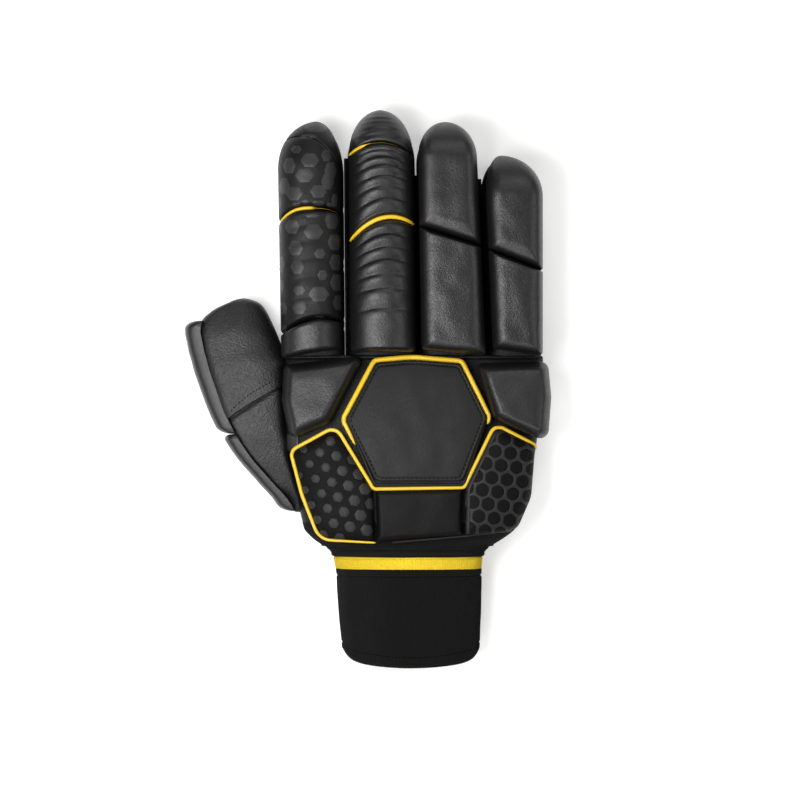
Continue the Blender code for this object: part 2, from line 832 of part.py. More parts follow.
def make_wrist_tube(name, start, stop, count, finish):
    """An open knitted tube between two distances behind the hand shell."""
    build = Builder()
    stations = [between(start, stop, step / count) for step in range(count + 1)]
    outer = build.loft([cuff_ring(d, 0.0) for d in stations])
    inner = build.loft([cuff_ring(d, KNIT_WALL) for d in stations])
    build.bridge(outer[0], inner[0])
    build.bridge(outer[1], inner[1])
    return build.finish(name, finish)


def make_wrist():
    start = JOIN_GAP
    make_wrist_tube("wrist_band", start, start + BAND_WIDTH, 1, "knit")
    start += BAND_WIDTH + JOIN_GAP
    make_wrist_tube("wrist_stripe", start, start + STRIPE_WIDTH, 1, "stripe")
    start += STRIPE_WIDTH + JOIN_GAP
    make_wrist_tube("cuff", start, CUFF_LENGTH, 4, "knit")


def stand_on_origin(glove):
    """Moves the glove so that the bottom centre of its bounding box is the origin.

    The piping, which is made of curves, lies within the meshes.
    """
    bpy.context.view_layer.update()
    graph = bpy.context.evaluated_depsgraph_get()
    corners = []
    for piece in glove.children:
        if piece.type == "MESH" and not piece.hide_render:
            shown = piece.evaluated_get(graph)
            corners += [shown.matrix_world @ Vector(corner) for corner in shown.bound_box]
    low = Vector([min(corner[axis] for corner in corners) for axis in range(3)])
    high = Vector([max(corner[axis] for corner in corners) for axis in range(3)])
    glove.location = (-(low.x + high.x) / 2, -(low.y + high.y) / 2, -low.z)


def main():
    for old in list(bpy.data.objects):
        bpy.data.objects.remove(old)
    glove = bpy.data.objects.new("glove", None)
    bpy.context.scene.collection.objects.link(glove)

    hand_shell = make_hand_shell()
    make_thumb(hand_shell)
    low, joint, high = (at * THUMB_LENGTH for at in (THUMB_PAD_SPAN[0], THUMB_PAD_JOINT, THUMB_PAD_SPAN[1]))
    make_thumb_pad("thumb_base_pad", low, joint - THUMB_PAD_SPACING / 2, THUMB_BASE_PAD)
    make_thumb_pad("thumb_tip_pad", joint + THUMB_PAD_SPACING / 2, high, THUMB_TIP_PAD)
    for finger in FINGERS:
        make_stall(finger)
        for number in range(len(finger.seams)):
            make_finger_pad(finger, number)
    index, middle = FINGERS[0], FINGERS[1]
    make_finger_piping(index, index.seams[2], "index_piping")
    make_finger_piping(middle, middle.seams[1], "middle_lower_piping")
    make_finger_piping(middle, middle.seams[2], "middle_upper_piping")
    make_back_pad("index_knuckle_block", INDEX_BLOCK, KNUCKLE_BLOCK, "foam_cover")
    make_back_pad("little_knuckle_block", LITTLE_BLOCK, KNUCKLE_BLOCK, "foam_cover")
    make_back_pad("hexagon_patch", HEXAGON, HEXAGON_PATCH, "patch_cover")
    make_back_pad("left_wrist_panel", LEFT_PANEL, WRIST_PANEL, "patch_cover")
    make_back_pad("bottom_wrist_block", BOTTOM_BLOCK, WRIST_PANEL, "foam_cover")
    make_back_pad("right_wrist_panel", RIGHT_PANEL, WRIST_PANEL, "patch_cover")
    make_back_piping("hexagon_piping", HEXAGON_PIPING)
    make_back_piping("panel_piping", PANEL_PIPING)
    make_wrist()
    stand_on_origin(glove)


main()
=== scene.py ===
"""Cricket batting glove for the right hand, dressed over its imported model.

The glove lies palm down: fingers to +Y, thumb to -X, the back of the hand to +Z. Each section
makes one piece or a group of like pieces, in the order in which the glove is put together.
Shapes are worked out in millimetres and made metres when a piece is finished.
"""

import math
from collections import namedtuple

import bmesh
import bpy
from mathutils import Matrix, Vector, kdtree, noise
from mathutils.bvhtree import BVHTree


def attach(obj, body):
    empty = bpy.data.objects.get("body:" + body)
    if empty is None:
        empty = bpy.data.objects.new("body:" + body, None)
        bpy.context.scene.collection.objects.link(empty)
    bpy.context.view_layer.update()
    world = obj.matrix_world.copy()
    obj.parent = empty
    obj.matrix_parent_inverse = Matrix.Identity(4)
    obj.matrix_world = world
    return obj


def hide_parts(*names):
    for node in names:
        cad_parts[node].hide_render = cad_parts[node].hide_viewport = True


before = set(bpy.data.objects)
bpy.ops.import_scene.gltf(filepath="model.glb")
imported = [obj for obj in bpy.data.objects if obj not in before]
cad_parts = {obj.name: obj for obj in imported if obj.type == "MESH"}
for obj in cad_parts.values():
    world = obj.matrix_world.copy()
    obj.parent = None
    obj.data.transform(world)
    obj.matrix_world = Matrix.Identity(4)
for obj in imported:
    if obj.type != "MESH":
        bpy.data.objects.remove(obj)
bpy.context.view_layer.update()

# Palm and back of the hand
# One tube of soft black grained leather, cut from a palm and a back piece and sewn along the
# sides. It is open to the fingers, the thumb and the wrist, and it lies flat on its palm.

MILLIMETRE = 0.001
LEATHER_WALL = 2.0
LEATHER_COLOUR = (0.0030, 0.0030, 0.0031)
HAND_SQUARENESS = 3.4
PRESSED_FLAT = 1.6
# distance from the cuff's side, left edge, right edge, height
HAND_ROWS = (
    (-86.6, -24.5, 70.0, 35.0),
    (-81.4, -31.0, 77.8, 35.1),
    (-76.2, -35.1, 83.6, 35.3),
    (-65.8, -37.5, 88.4, 35.5),
    (-51.2, -40.8, 92.2, 35.5),
    (-34.6, -44.8, 94.0, 34.8),
    (-13.8, -47.2, 97.4, 32.7),
    (4.9, -47.8, 98.7, 29.5),
    (17.4, -47.8, 98.3, 26.2),
)
PAD_OVERHANG = 2.8  # how far the pads on the back of the hand may stand out over its sides
PALM_SEAMS = ((-22.0, 0.0030), (9.0, 0.0008))
# middle and half size of the opening in the side of the hand
THUMB_WINDOW = ((-45.0, -17.0, 15.0), (12.0, 14.0, 8.5))
# scales of the pebbles and creases for a grain of one millimetre, and of the clouds of the dye
PEBBLES = 1000
CREASES = 450
CLOUDS = 70.0
GLOSS_RANGE = 0.12


def between(low, high, share):
    return low + (high - low) * share


def limited(value, low=0.0, high=1.0):
    return min(max(value, low), high)


def eased(rows, at):
    """The values of a table at a place between its rows, on a smooth curve that never overshoots."""
    at = limited(at, rows[0][0], rows[-1][0])
    last = len(rows) - 1
    number = next(n for n in range(last) if at <= rows[n + 1][0])
    span = rows[number + 1][0] - rows[number][0]
    share = (at - rows[number][0]) / span
    values = []
    for column in range(1, len(rows[0])):
        def rise(n):
            return (rows[n + 1][column] - rows[n][column]) / (rows[n + 1][0] - rows[n][0])

        def slope(n):
            if n in (0, last):
                return rise(min(n, last - 1))
            before, after = rise(n - 1), rise(n)
            if before * after <= 0:
                return 0.0
            return 2 * before * after / (before + after)

        low, high = rows[number][column], rows[number + 1][column]
        start, stop = slope(number) * span, slope(number + 1) * span
        bend = share * share * (3 - 2 * share)
        value = between(low, high, bend)
        value += start * share * (1 - share) ** 2 - stop * share**2 * (1 - share)
        values.append(value)
    return values


def squared_circle(angle, squareness):
    across, up = math.cos(angle), math.sin(angle)
    power = 2 / squareness
    return math.copysign(abs(across) ** power, across), math.copysign(abs(up) ** power, up)


def dent(distance, width, depth):
    """A soft groove, at a distance from its bottom."""
    return -depth * math.exp(-((distance / width) ** 2))


def unevenness(place, size, height):
    """The slight lumps of a hand-made soft surface."""
    return height * noise.noise(place / size)


def fine_sheet(across, along, place):
    """A fine grid of faces laid where place(u, v) says, with u and v from 0 to 1 as its UV map."""
    shape = bmesh.new()
    shape.loops.layers.uv.new("UVMap")
    bmesh.ops.create_grid(shape, x_segments=across, y_segments=along, size=0.5, calc_uvs=True)
    for vert in shape.verts:
        vert.co = place(vert.co.x + 0.5, vert.co.y + 0.5)
    bmesh.ops.remove_doubles(shape, verts=shape.verts, dist=0.002)
    return shape


def added(made, kind, values, operation=None, feature=None):
    """A node added to a material, with the values of its sockets."""
    node = made.node_tree.nodes.new("ShaderNode" + kind)
    if operation:
        node.operation = operation
    if feature:
        node.feature = feature
    for socket, value in values.items():
        node.inputs[socket].default_value = value
    return node


def mottled(made, colour, amount_from, amount_to, factor):
    """Colours the surface unevenly, between two shares of its colour."""
    dye = made.node_tree.nodes.new("ShaderNodeMix")
    dye.data_type = "RGBA"
    dye.inputs["A"].default_value = (*[part * amount_from for part in colour], 1)
    dye.inputs["B"].default_value = (*[part * amount_to for part in colour], 1)
    made.node_tree.links.new(factor, dye.inputs["Factor"])
    return dye.outputs["Result"]


def new_material(name, values):
    """A material, its surface with the values of its sockets, and the function that links sockets."""
    made = bpy.data.materials.new(name)
    made.use_nodes = True
    surface = made.node_tree.nodes["Principled BSDF"]
    for socket, value in values.items():
        surface.inputs[socket].default_value = value
    return made, surface.inputs, made.node_tree.links.new


def leather(name, colour, roughness, grain, depth, patchy=0.35, shine=0.5):
    """Leather or coated cloth: a pebbled grain of a size in millimetres, and uneven dye and gloss."""
    made, surface, link = new_material(name, {"Specular IOR Level": shine})
    place = added(made, "TexCoord", {}).outputs["Object"]
    pebbles = added(
        made, "TexVoronoi", {"Scale": PEBBLES / grain, "Smoothness": 0.6}, feature="SMOOTH_F1",
    )
    creases = added(made, "TexNoise", {"Scale": CREASES / grain, "Detail": 5.0})
    clouds = added(made, "TexNoise", {"Scale": CLOUDS, "Detail": 4.0})
    for texture in (pebbles, creases, clouds):
        link(place, texture.inputs["Vector"])

    height = added(made, "Math", {1: 0.8}, "MULTIPLY_ADD")
    link(pebbles.outputs["Distance"], height.inputs[0])
    link(creases.outputs["Fac"], height.inputs[2])
    bump = added(made, "Bump", {"Strength": 1.0, "Distance": depth * MILLIMETRE})
    link(height.outputs["Value"], bump.inputs["Height"])
    link(bump.outputs["Normal"], surface["Normal"])

    dye = mottled(made, colour, 1 - patchy, 1 + patchy, clouds.outputs["Fac"])
    link(dye, surface["Base Color"])
    gloss = added(
        made, "MapRange", {"To Min": roughness - GLOSS_RANGE, "To Max": roughness + GLOSS_RANGE},
    )
    link(creases.outputs["Fac"], gloss.inputs["Value"])
    link(gloss.outputs["Result"], surface["Roughness"])
    return made


surfaces = {}


def finished(name, shape, finish, slot, stands_for=(), wall=0.0, crease=50):
    """Makes a piece of a shape, in metres, with its finish, its place in the frame and its wall."""
    bmesh.ops.recalc_face_normals(shape, faces=shape.faces)
    if not wall and shape.calc_volume(signed=True) < 0:
        bmesh.ops.reverse_faces(shape, faces=shape.faces)
    surfaces[name] = BVHTree.FromBMesh(shape)
    bmesh.ops.scale(shape, vec=Vector((MILLIMETRE,) * 3), verts=shape.verts)
    data = bpy.data.meshes.new(name)
    shape.to_mesh(data)
    shape.free()
    data.shade_smooth()
    data.set_sharp_from_angle(angle=math.radians(crease))
    data.materials.append(finish)
    piece = bpy.data.objects.new(name, data)
    bpy.context.scene.collection.objects.link(piece)
    if wall:
        hide = piece.modifiers.new("wall", "SOLIDIFY")
        hide.thickness = wall * MILLIMETRE
        hide.offset = -1.0
    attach(piece, "root")
    if stands_for:
        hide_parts(*stands_for)
    return piece


def back_of_hand(x, y):
    """The height of the leather under a point of the back of the hand."""
    left, right, height = eased(HAND_ROWS, y)
    half = (right - left) / 2 + PAD_OVERHANG
    across = min(abs(x - (left + right) / 2) / half, 0.985)
    top = (1 - across**HAND_SQUARENESS) ** (1 / HAND_SQUARENESS)
    return -PRESSED_FLAT + (height + PRESSED_FLAT) * (1 + top) / 2


def hand_leather_at(u, v):
    y = between(HAND_ROWS[0][0], HAND_ROWS[-1][0], v)
    left, right, height = eased(HAND_ROWS, y)
    across, up = squared_circle(2 * math.pi * u, HAND_SQUARENESS)
    x = (left + right) / 2 + (right - left) / 2 * across
    z = (height - PRESSED_FLAT) / 2 + (height + PRESSED_FLAT) / 2 * up
    z = max(z, 0.0)
    if up < -0.5:
        for line, bow in PALM_SEAMS:
            z -= dent(y - line - bow * (x - 25.0) ** 2, 0.9, 0.7)
        z += abs(unevenness(Vector((x, y * 2.0, 3.0)), 14.0, 0.5))
    else:
        x += unevenness(Vector((x, y, z)), 12.0, 0.5) * across
    return Vector((x, y, z))


hand_black = leather("soft_grained_leather", LEATHER_COLOUR, 0.56, 0.85, 0.12, 0.30, 0.22)
shape = fine_sheet(144, 60, hand_leather_at)
window = [
    face for face in shape.faces
    if sum(((a - b) / c) ** 2 for a, b, c in zip(face.calc_center_median(), *THUMB_WINDOW)) < 1
]
bmesh.ops.delete(shape, geom=window, context="FACES")
finished("palm_and_back", shape, hand_black, "leather", ["hand_shell"], LEATHER_WALL)

# Finger stalls
# Four tubes of the same soft leather, one a finger, closed at the tip and sewn to the hand at
# the root. Their backs carry the foam rolls, and their undersides crease where a finger bends.

KNUCKLE_LINE = 17.4
STALL_TOP = 26.2
TIP_DROOP = 6.0
Finger = namedtuple("Finger", "name left left_lean right right_lean end tip tip_shift")
INDEX = Finger("index", -48.7, -0.018, -10.3, -0.008, 148.6, 0.80, 0.26)
MIDDLE = Finger("middle", -10.3, -0.008, 29.2, -0.018, 155.0, 0.69, 0.00)
RING = Finger("ring", 29.2, -0.018, 67.0, -0.045, 148.4, 0.57, -0.04)
LITTLE = Finger("little", 67.0, -0.045, 99.0, 0.000, 129.7, 0.86, -0.42)
STALL_INSETS = {"index": (4.8, 1.8), "middle": (0.4, 0.4), "ring": (0.4, 0.4), "little": (0.4, 1.6)}
ROLL_INSETS = {"index": (1.4, 3.2), "middle": (1.4, 1.4), "ring": (1.4, 0.8), "little": (3.2, 1.4)}
TIP_OVERHANG = 3.0
TIP_PINCH = 0.36
BEND_CREASES = (34.0, 38.5, 67.0, 71.0, 100.0)


def finger_sides(finger, y):
    """The borders of a finger's room between its neighbours."""
    out = y - KNUCKLE_LINE
    return finger.left + finger.left_lean * out, finger.right + finger.right_lean * out


def roll_sides(finger, y):
    """The sides of the rolls on a finger, inside the borders of its room."""
    left, right = finger_sides(finger, y)
    insets = ROLL_INSETS[finger.name]
    return left + insets[0], right - insets[1]


def roll_width(finger):
    left, right = roll_sides(finger, KNUCKLE_LINE)
    return right - left


def tip_share(from_tip, length):
    """How wide a round tip is at a distance from its end, as a share of the full width."""
    if from_tip >= length:
        return 1.0
    return math.sqrt(max(1 - ((length - from_tip) / length) ** 2, 0.0))


def stall_top(finger, y):
    """The top of a stall, which curls down towards the fingertip."""
    inside = 1 - (finger.end - y) / (finger.tip * roll_width(finger))
    return STALL_TOP - TIP_DROOP * limited(inside) ** 2


def make_stall(finger):
    name, insets = finger.name, STALL_INSETS[finger.name]
    root, end = KNUCKLE_LINE + 0.4, finger.end - TIP_OVERHANG
    tip_length = finger.tip * roll_width(finger)

    def place(u, v):
        y = end - (end - root) * (1 - v) ** 1.25
        left, right = finger_sides(finger, y)
        left, right = left + insets[0], right - insets[1]
        share = tip_share(end - y, tip_length)
        middle = (left + right) / 2 + finger.tip_shift * (right - left) / 2 * (1 - share)
        top = stall_top(finger, y)
        lift = (top + PRESSED_FLAT) * TIP_PINCH * (1 - share**0.7)
        across, up = squared_circle(2 * math.pi * u, HAND_SQUARENESS)
        low, high = lift - PRESSED_FLAT, top - lift
        z = (low + high) / 2 + (high - low) / 2 * up
        side = (right - left) / 2 * share
        if up < 0.4:
            for line in BEND_CREASES:
                side += dent(y - line, 1.3, 0.5) * share
        x = middle + side * across
        z = max(z, 0.0)
        if up < -0.5:
            for line in BEND_CREASES:
                z -= dent(y - line - 0.02 * (x - middle) ** 2, 1.1, 0.6)
        return Vector((x, y, z))

    shape = fine_sheet(64, 90, place)
    finished(f"{name}_leather", shape, hand_black, "leather", [f"{name}_stall"], LEATHER_WALL)


for finger in (INDEX, MIDDLE, RING, LITTLE):
    make_stall(finger)

# A narrow strip of leather joins each two stalls. Each has its name, the finger to its right and
# the place where the fingers part.
GUSSETS = (
    ("index_middle_gusset", MIDDLE, 129.0),
    ("middle_ring_gusset", RING, 119.5),
    ("ring_little_gusset", LITTLE, 117.5),
)
GUSSET_SIDE = 1.6
GUSSET_LEVEL = 11.0
GUSSET_SAG = 1.4
for name, finger, fork in GUSSETS:
    def gusset_at(u, v):
        y = between(KNUCKLE_LINE - 5.0, fork, v)
        border = finger_sides(finger, y)[0]
        across = between(-GUSSET_SIDE, GUSSET_SIDE, u)
        return Vector((border + across, y, GUSSET_LEVEL - GUSSET_SAG * math.sin(math.pi * u)))

    finished(name, fine_sheet(6, 60, gusset_at), hand_black, "leather", wall=1.0)

# Thumb
# A tube of coarser grained leather in two lengths: the upper one laps over the lower one along a
# slanting edge, with a row of stitches beside it. It is sewn to the side of the hand.

THUMB_ROOT = -68.4
THUMB_LENGTH = 119.0
THUMB_WIDTH = 42.2
THUMB_HEIGHT = 31.0
# share of the length, width, distance from the hand and height, as shares of the thumb's own
THUMB_ROWS = (
    (0.000, 0.06, 0.00, 0.35),
    (0.056, 0.12, 0.00, 0.55),
    (0.130, 0.26, 0.00, 0.72),
    (0.257, 0.48, 0.00, 0.90),
    (0.400, 0.675, 0.00, 0.99),
    (0.588, 0.865, 0.00, 1.00),
    (0.695, 0.96, 0.00, 1.00),
    (0.760, 0.99, 0.02, 0.98),
    (0.830, 0.97, 0.08, 0.95),
    (0.893, 0.88, 0.15, 0.87),
    (0.940, 0.69, 0.21, 0.75),
    (0.975, 0.43, 0.28, 0.60),
    (0.998, 0.12, 0.42, 0.38),
    (1.000, 0.01, 0.47, 0.26),
)
# how square the thumb's upper edges are: the outer one, and the inner one at its root and its tip
OUTER_FULLNESS = 7.5
INNER_FULLNESS = (7.0, 2.2)
LAP_LINE = 0.512  # share of the length at which the upper leather laps over the lower
THUMB_TIP_RISE = 0.42
LAP_SLANT = 0.56
LAP_RISE = 2.0
THUMB_COLOUR = (0.0036, 0.0036, 0.0037)
THREAD_COLOUR = (0.0010, 0.0010, 0.0010)


def thumb_y(along):
    return THUMB_ROOT + along * THUMB_LENGTH


def thumb_edges(along):
    width, away, height = eased(THUMB_ROWS, along)
    beside = eased(HAND_ROWS, thumb_y(along))[0]
    right = beside - 0.4 - away * THUMB_WIDTH
    return right - width * THUMB_WIDTH, right + 1.8 * (1 - away / 0.4), height * THUMB_HEIGHT


def lap_slant(along):
    """How far the rings of the thumb are turned, from its root and its tip to the lap."""
    return LAP_SLANT * math.exp(-(((along - LAP_LINE) / 0.24) ** 2))


below_lap = [LAP_LINE * (1 - (1 - n / 40) ** 1.3) for n in range(41)]
above_lap = [between(LAP_LINE, 1.0, 1 - (1 - n / 52) ** 1.35) for n in range(53)]
THUMB_RINGS = (
    [(along, -1.3 * math.exp(-((LAP_LINE - along) / 0.016) ** 2)) for along in below_lap]
    + [(LAP_LINE, 0.6), (LAP_LINE + 0.002, LAP_RISE)]
    + [(along, LAP_RISE * math.exp(-((along - LAP_LINE) / 0.35) ** 2)) for along in above_lap[1:]]
)


def thumb_leather_at(u, v):
    along, lift = THUMB_RINGS[round(v * (len(THUMB_RINGS) - 1))]
    left, right, height = thumb_edges(along)
    angle = 2 * math.pi * u
    towards_tip = limited((along - 0.42) / 0.3)
    fullness = OUTER_FULLNESS if math.cos(angle) < 0 else between(*INNER_FULLNESS, towards_tip)
    top = max(math.sin(angle), 0.0) ** 0.5
    across, up = squared_circle(angle, between(HAND_SQUARENESS, fullness, top))
    turned = along + lap_slant(along) * across * (right - left) / 2 / THUMB_LENGTH
    turned = limited(turned, THUMB_ROWS[0][0], THUMB_ROWS[-1][0])
    left, right, height = thumb_edges(turned)
    rise = (THUMB_HEIGHT - height) * THUMB_TIP_RISE
    low, high = rise - PRESSED_FLAT, rise + height
    z = (low + high) / 2 + (high - low) / 2 * up
    x = (left + right) / 2 + (right - left) / 2 * across
    lump = unevenness(Vector((x, thumb_y(turned), z)), 11.0, 0.8)
    if up > -0.3:
        z += (lift + lump) * max(up, 0.0)
        x += lift * 0.3 * across
    return Vector((x, thumb_y(turned), max(z, 0.0)))


def open_edges(shape):
    return [edge for edge in shape.edges if edge.is_boundary]


def on_surface(tree, x, y):
    """The point and the outward direction of a surface straight below a point of the plan."""
    place, facing, *_ = tree.ray_cast(Vector((x, y, 200.0)), Vector((0.0, 0.0, -1.0)))
    if place is None:
        return None, None
    return place, facing if facing.z > 0 else -facing


def evenly(path, pitch):
    """Points along a path of points, one pitch apart."""
    points, left_over = [path[0]], 0.0
    for first, second in zip(path, path[1:]):
        length = (second - first).length
        at = pitch - left_over
        while at <= length:
            points.append(first.lerp(second, at / length))
            at += pitch
        left_over = length - (at - pitch)
    return points


def stitches(name, trees, path, pitch, length, width, sink=0.0, slot="leather"):
    """A row of stitches lying on surfaces, along a path in the plan."""
    shape = bmesh.new()
    spots = evenly([Vector((x, y, 0.0)) for x, y in path], pitch)
    for before, after in zip(spots, spots[1:]):
        middle = (before + after) / 2
        ends = []
        for spot in (before, after, middle):
            hits = [on_surface(surfaces[tree], spot.x, spot.y) for tree in trees]
            hits = [hit for hit in hits if hit[0] is not None]
            if hits:
                ends.append(max(hits, key=lambda hit: hit[0].z))
        if len(ends) < 3:
            continue
        along = (ends[1][0] - ends[0][0]).normalized()
        facing = ends[2][1]
        side = facing.cross(along).normalized()
        turned = Matrix((along, side, along.cross(side))).transposed().to_4x4()
        sized = Matrix.Diagonal((length, width, width * 0.8, 1.0))
        place = Matrix.Translation(ends[2][0] - facing * sink) @ turned @ sized
        bmesh.ops.create_uvsphere(shape, u_segments=6, v_segments=4, radius=0.5, matrix=place)
    finished(name, shape, thread_black, slot)


thumb_black = leather("pebbled_thumb_leather", THUMB_COLOUR, 0.48, 1.00, 0.26, 0.30, 0.38)
thread_black = leather("black_thread", THREAD_COLOUR, 0.80, 0.25, 0.05, shine=0.05)
shape = fine_sheet(96, len(THUMB_RINGS) - 1, thumb_leather_at)
near_tip = thumb_y(0.9)
tip_rim = [edge for edge in open_edges(shape) if edge.verts[0].co.y > near_tip]
tip_face = bmesh.ops.contextual_create(shape, geom=tip_rim)["faces"]
bmesh.ops.triangulate(shape, faces=tip_face)
finished("thumb_leather", shape, thumb_black, "leather", ["thumb_stall"], LEATHER_WALL)
lap = [Vector(part) for part in ((-75.5, -12.5), (-73.0, -9.6), (-63.5, -2.0), (-51.3, 4.8))]
stitches("thumb_lap_stitches", ["thumb_leather"], lap, 2.0, 1.4, 0.6)

# Thumb guards
# Two foam rolls covered in smooth coated cloth, sewn along the outer side of the thumb, end to
# end. They are square in section with well rounded edges, and their ends are pulled in.

COVER_COLOUR = (0.0046, 0.0046, 0.0047)
GUARD_HALF_HEIGHT = 14.2
GUARD_ROUNDNESS = 0.62
# name, node, the shares of the thumb's length where it starts and stops, and thickness
GUARDS = (
    ("thumb_base_guard", "thumb_base_pad", 0.004, 0.3640, 8.4),
    ("thumb_tip_guard", "thumb_tip_pad", 0.3645, 0.895, 9.2),
)
cover_black = leather("smooth_coated_cover", COVER_COLOUR, 0.43, 0.80, 0.10, 0.25, 0.42)


def clustered(share, amount=0.62):
    """A share from 0 to 1 that moves slowly near both ends, so that a grid is finer there."""
    return share - amount * math.sin(2 * math.pi * share) / (2 * math.pi)


for name, node, start, stop, thickness in GUARDS:
    length = (stop - start) * THUMB_LENGTH

    def place(u, v):
        along = between(start, stop, clustered(v))
        from_end = min(clustered(v), 1 - clustered(v)) * length
        full = tip_share(from_end, 4.2) ** 0.7
        face = thumb_edges(along)[0] + 0.5
        out, up = math.sin(2 * math.pi * u), math.cos(2 * math.pi * u)
        bulge = thickness * full * max(out, 0.0) ** GUARD_ROUNDNESS
        half_height = math.copysign(abs(up) ** GUARD_ROUNDNESS, up) * GUARD_HALF_HEIGHT
        z = THUMB_HEIGHT / 2 + half_height * between(0.80, 1.0, full)
        z += unevenness(Vector((face - bulge, along * THUMB_LENGTH, z)), 13.0, 0.5)
        return Vector((face - bulge, thumb_y(along), max(z, 1.2)))

    shape = fine_sheet(64, 80, place)
    finished(name, shape, cover_black, "foam_cover", [node])

# Index finger
# Four foam rolls covered in coated cloth: a knuckle roll, two long rolls and a fingertip. The
# cover of the long rolls and the tip carries a print of loose, slightly raised hexagons.

ROLL_THICKNESS = 21.5
TIP_THICKNESS = 0.30
LOW_CORNER = 6.0
HIGH_CORNER = 5.0
SEAT = 0.5
# where a seam's crest lies, how deep it bows, where its crest lies as a share of the half width,
# how sharply it bows, its slant, the room between the two rolls, and how high the roll on the
# fingertip's side and the one on the wrist's side stand at it
Seam = namedtuple("Seam", "y bow peak power slant gap meet under")
INDEX_SEAMS = (
    Seam(19.4, 0.04, 0.00, 2.0, 0.14, 1.2, 0.55, 0.55),
    Seam(38.8, 0.26, 0.40, 2.0, 0.00, 0.9, 0.62, 0.86),
    Seam(99.9, 0.30, 0.15, 3.0, 0.00, 1.7, 0.76, 0.80),
    Seam(139.3, 0.38, -0.40, 3.0, 0.00, 0.3, 0.93, 0.95),
    Seam(148.6, 0.0, -0.40, 3.0, 0.00, 0.0, 1.0, 1.0),
)
INDEX_ROLLS = (
    ("index_knuckle_roll_cover", "index_knuckle_roll"),
    ("index_lower_roll", "index_lower_pad"),
    ("index_middle_roll", "index_middle_pad"),
    ("index_tip_roll", "index_tip_pad"),
)
INDEX_COVER_COLOUR = (0.0022, 0.0022, 0.0023)
PRINT_COLOUR = (0.0150, 0.0150, 0.0153)
PRINT_RISE = 0.22
FLAT_TOP_STRETCH = 1.12  # a hexagon with two level sides is less high than wide
# middle, width and height of each printed hexagon
INDEX_PRINT = (
    (-28.0, 144.6, 13.3, 5.6), (-32.5, 139.3, 11.1, 2.8), (-38.6, 132.1, 6.1, 4.4),
    (-42.5, 123.2, 7.2, 8.9), (-31.1, 126.0, 10.5, 7.8), (-21.9, 128.8, 6.1, 6.7),
    (-34.1, 117.7, 10.5, 7.8), (-19.7, 120.4, 6.7, 10.0), (-45.2, 112.1, 6.1, 8.9),
    (-39.7, 107.7, 9.4, 7.8), (-26.4, 108.8, 9.4, 7.2), (-21.4, 114.3, 7.2, 8.9),
    (-17.5, 104.3, 3.3, 7.2), (-48.0, 103.0, 3.3, 5.6), (-38.6, 101.8, 5.0, 2.2),
    (-33.6, 103.2, 4.4, 2.2), (-26.4, 102.4, 7.2, 2.8), (-19.7, 101.6, 5.0, 2.2),
    (-29.7, 95.5, 8.3, 2.2), (-19.1, 93.2, 7.8, 10.0), (-40.8, 89.4, 8.3, 7.8),
    (-47.5, 89.4, 2.8, 4.4), (-29.1, 86.6, 11.1, 8.3), (-17.5, 81.0, 7.8, 8.9),
    (-38.9, 77.7, 8.3, 8.3), (-25.5, 74.6, 6.1, 5.6), (-16.9, 69.9, 7.2, 8.9),
    (-46.9, 68.8, 4.4, 8.9), (-38.0, 67.2, 7.8, 7.8), (-24.1, 62.7, 5.6, 5.6),
    (-16.4, 58.8, 7.2, 9.4), (-46.9, 56.6, 3.3, 7.2), (-36.9, 54.4, 6.7, 5.6),
    (-26.1, 52.2, 11.7, 8.3), (-15.3, 47.7, 6.7, 8.3), (-45.8, 44.4, 4.4, 6.7),
    (-36.9, 45.0, 8.3, 7.8), (-45.2, 32.5, 3.3, 5.6), (-25.5, 39.4, 5.6, 1.7),
)


def round_section(u):
    """Share of the half width and of the thickness at a share u of the way over a roll."""
    angle = math.pi * (1 - u)
    across = math.copysign(abs(math.cos(angle)) ** 0.88, math.cos(angle))
    return across, 0.10 + 0.90 * math.sin(angle) ** 0.80


def round_end(distance, reach, lowest):
    """How high a roll stands near a sewn end, as a share of its thickness."""
    if distance >= reach:
        return 1.0
    return lowest + (1 - lowest) * math.sqrt(1 - (1 - distance / reach) ** 2)


def rounded_off(distance, radius):
    """How far a corner of a roll is drawn in, near its sewn end."""
    if radius < 0.1:
        return 0.0
    inside = 1 - min(distance / radius, 1.0)
    return radius * (1 - math.sqrt(1 - inside * inside))


def tucked_under(shape, foot):
    """Closes a pad below: its rim goes down to the leather, turns in, and one face fills it."""
    middle = sum((vert.co for vert in shape.verts), Vector()) / len(shape.verts)
    for inward, level in ((0.997, 0.45), (0.985, 0.30), (0.965, 0.0)):
        made = bmesh.ops.extrude_edge_only(shape, edges=open_edges(shape))["geom"]
        for vert in (part for part in made if isinstance(part, bmesh.types.BMVert)):
            vert.co.x = between(middle.x, vert.co.x, inward)
            low = foot(vert.co.x, vert.co.y)
            vert.co.z = between(low, vert.co.z, level)
    bmesh.ops.holes_fill(shape, edges=open_edges(shape), sides=0)


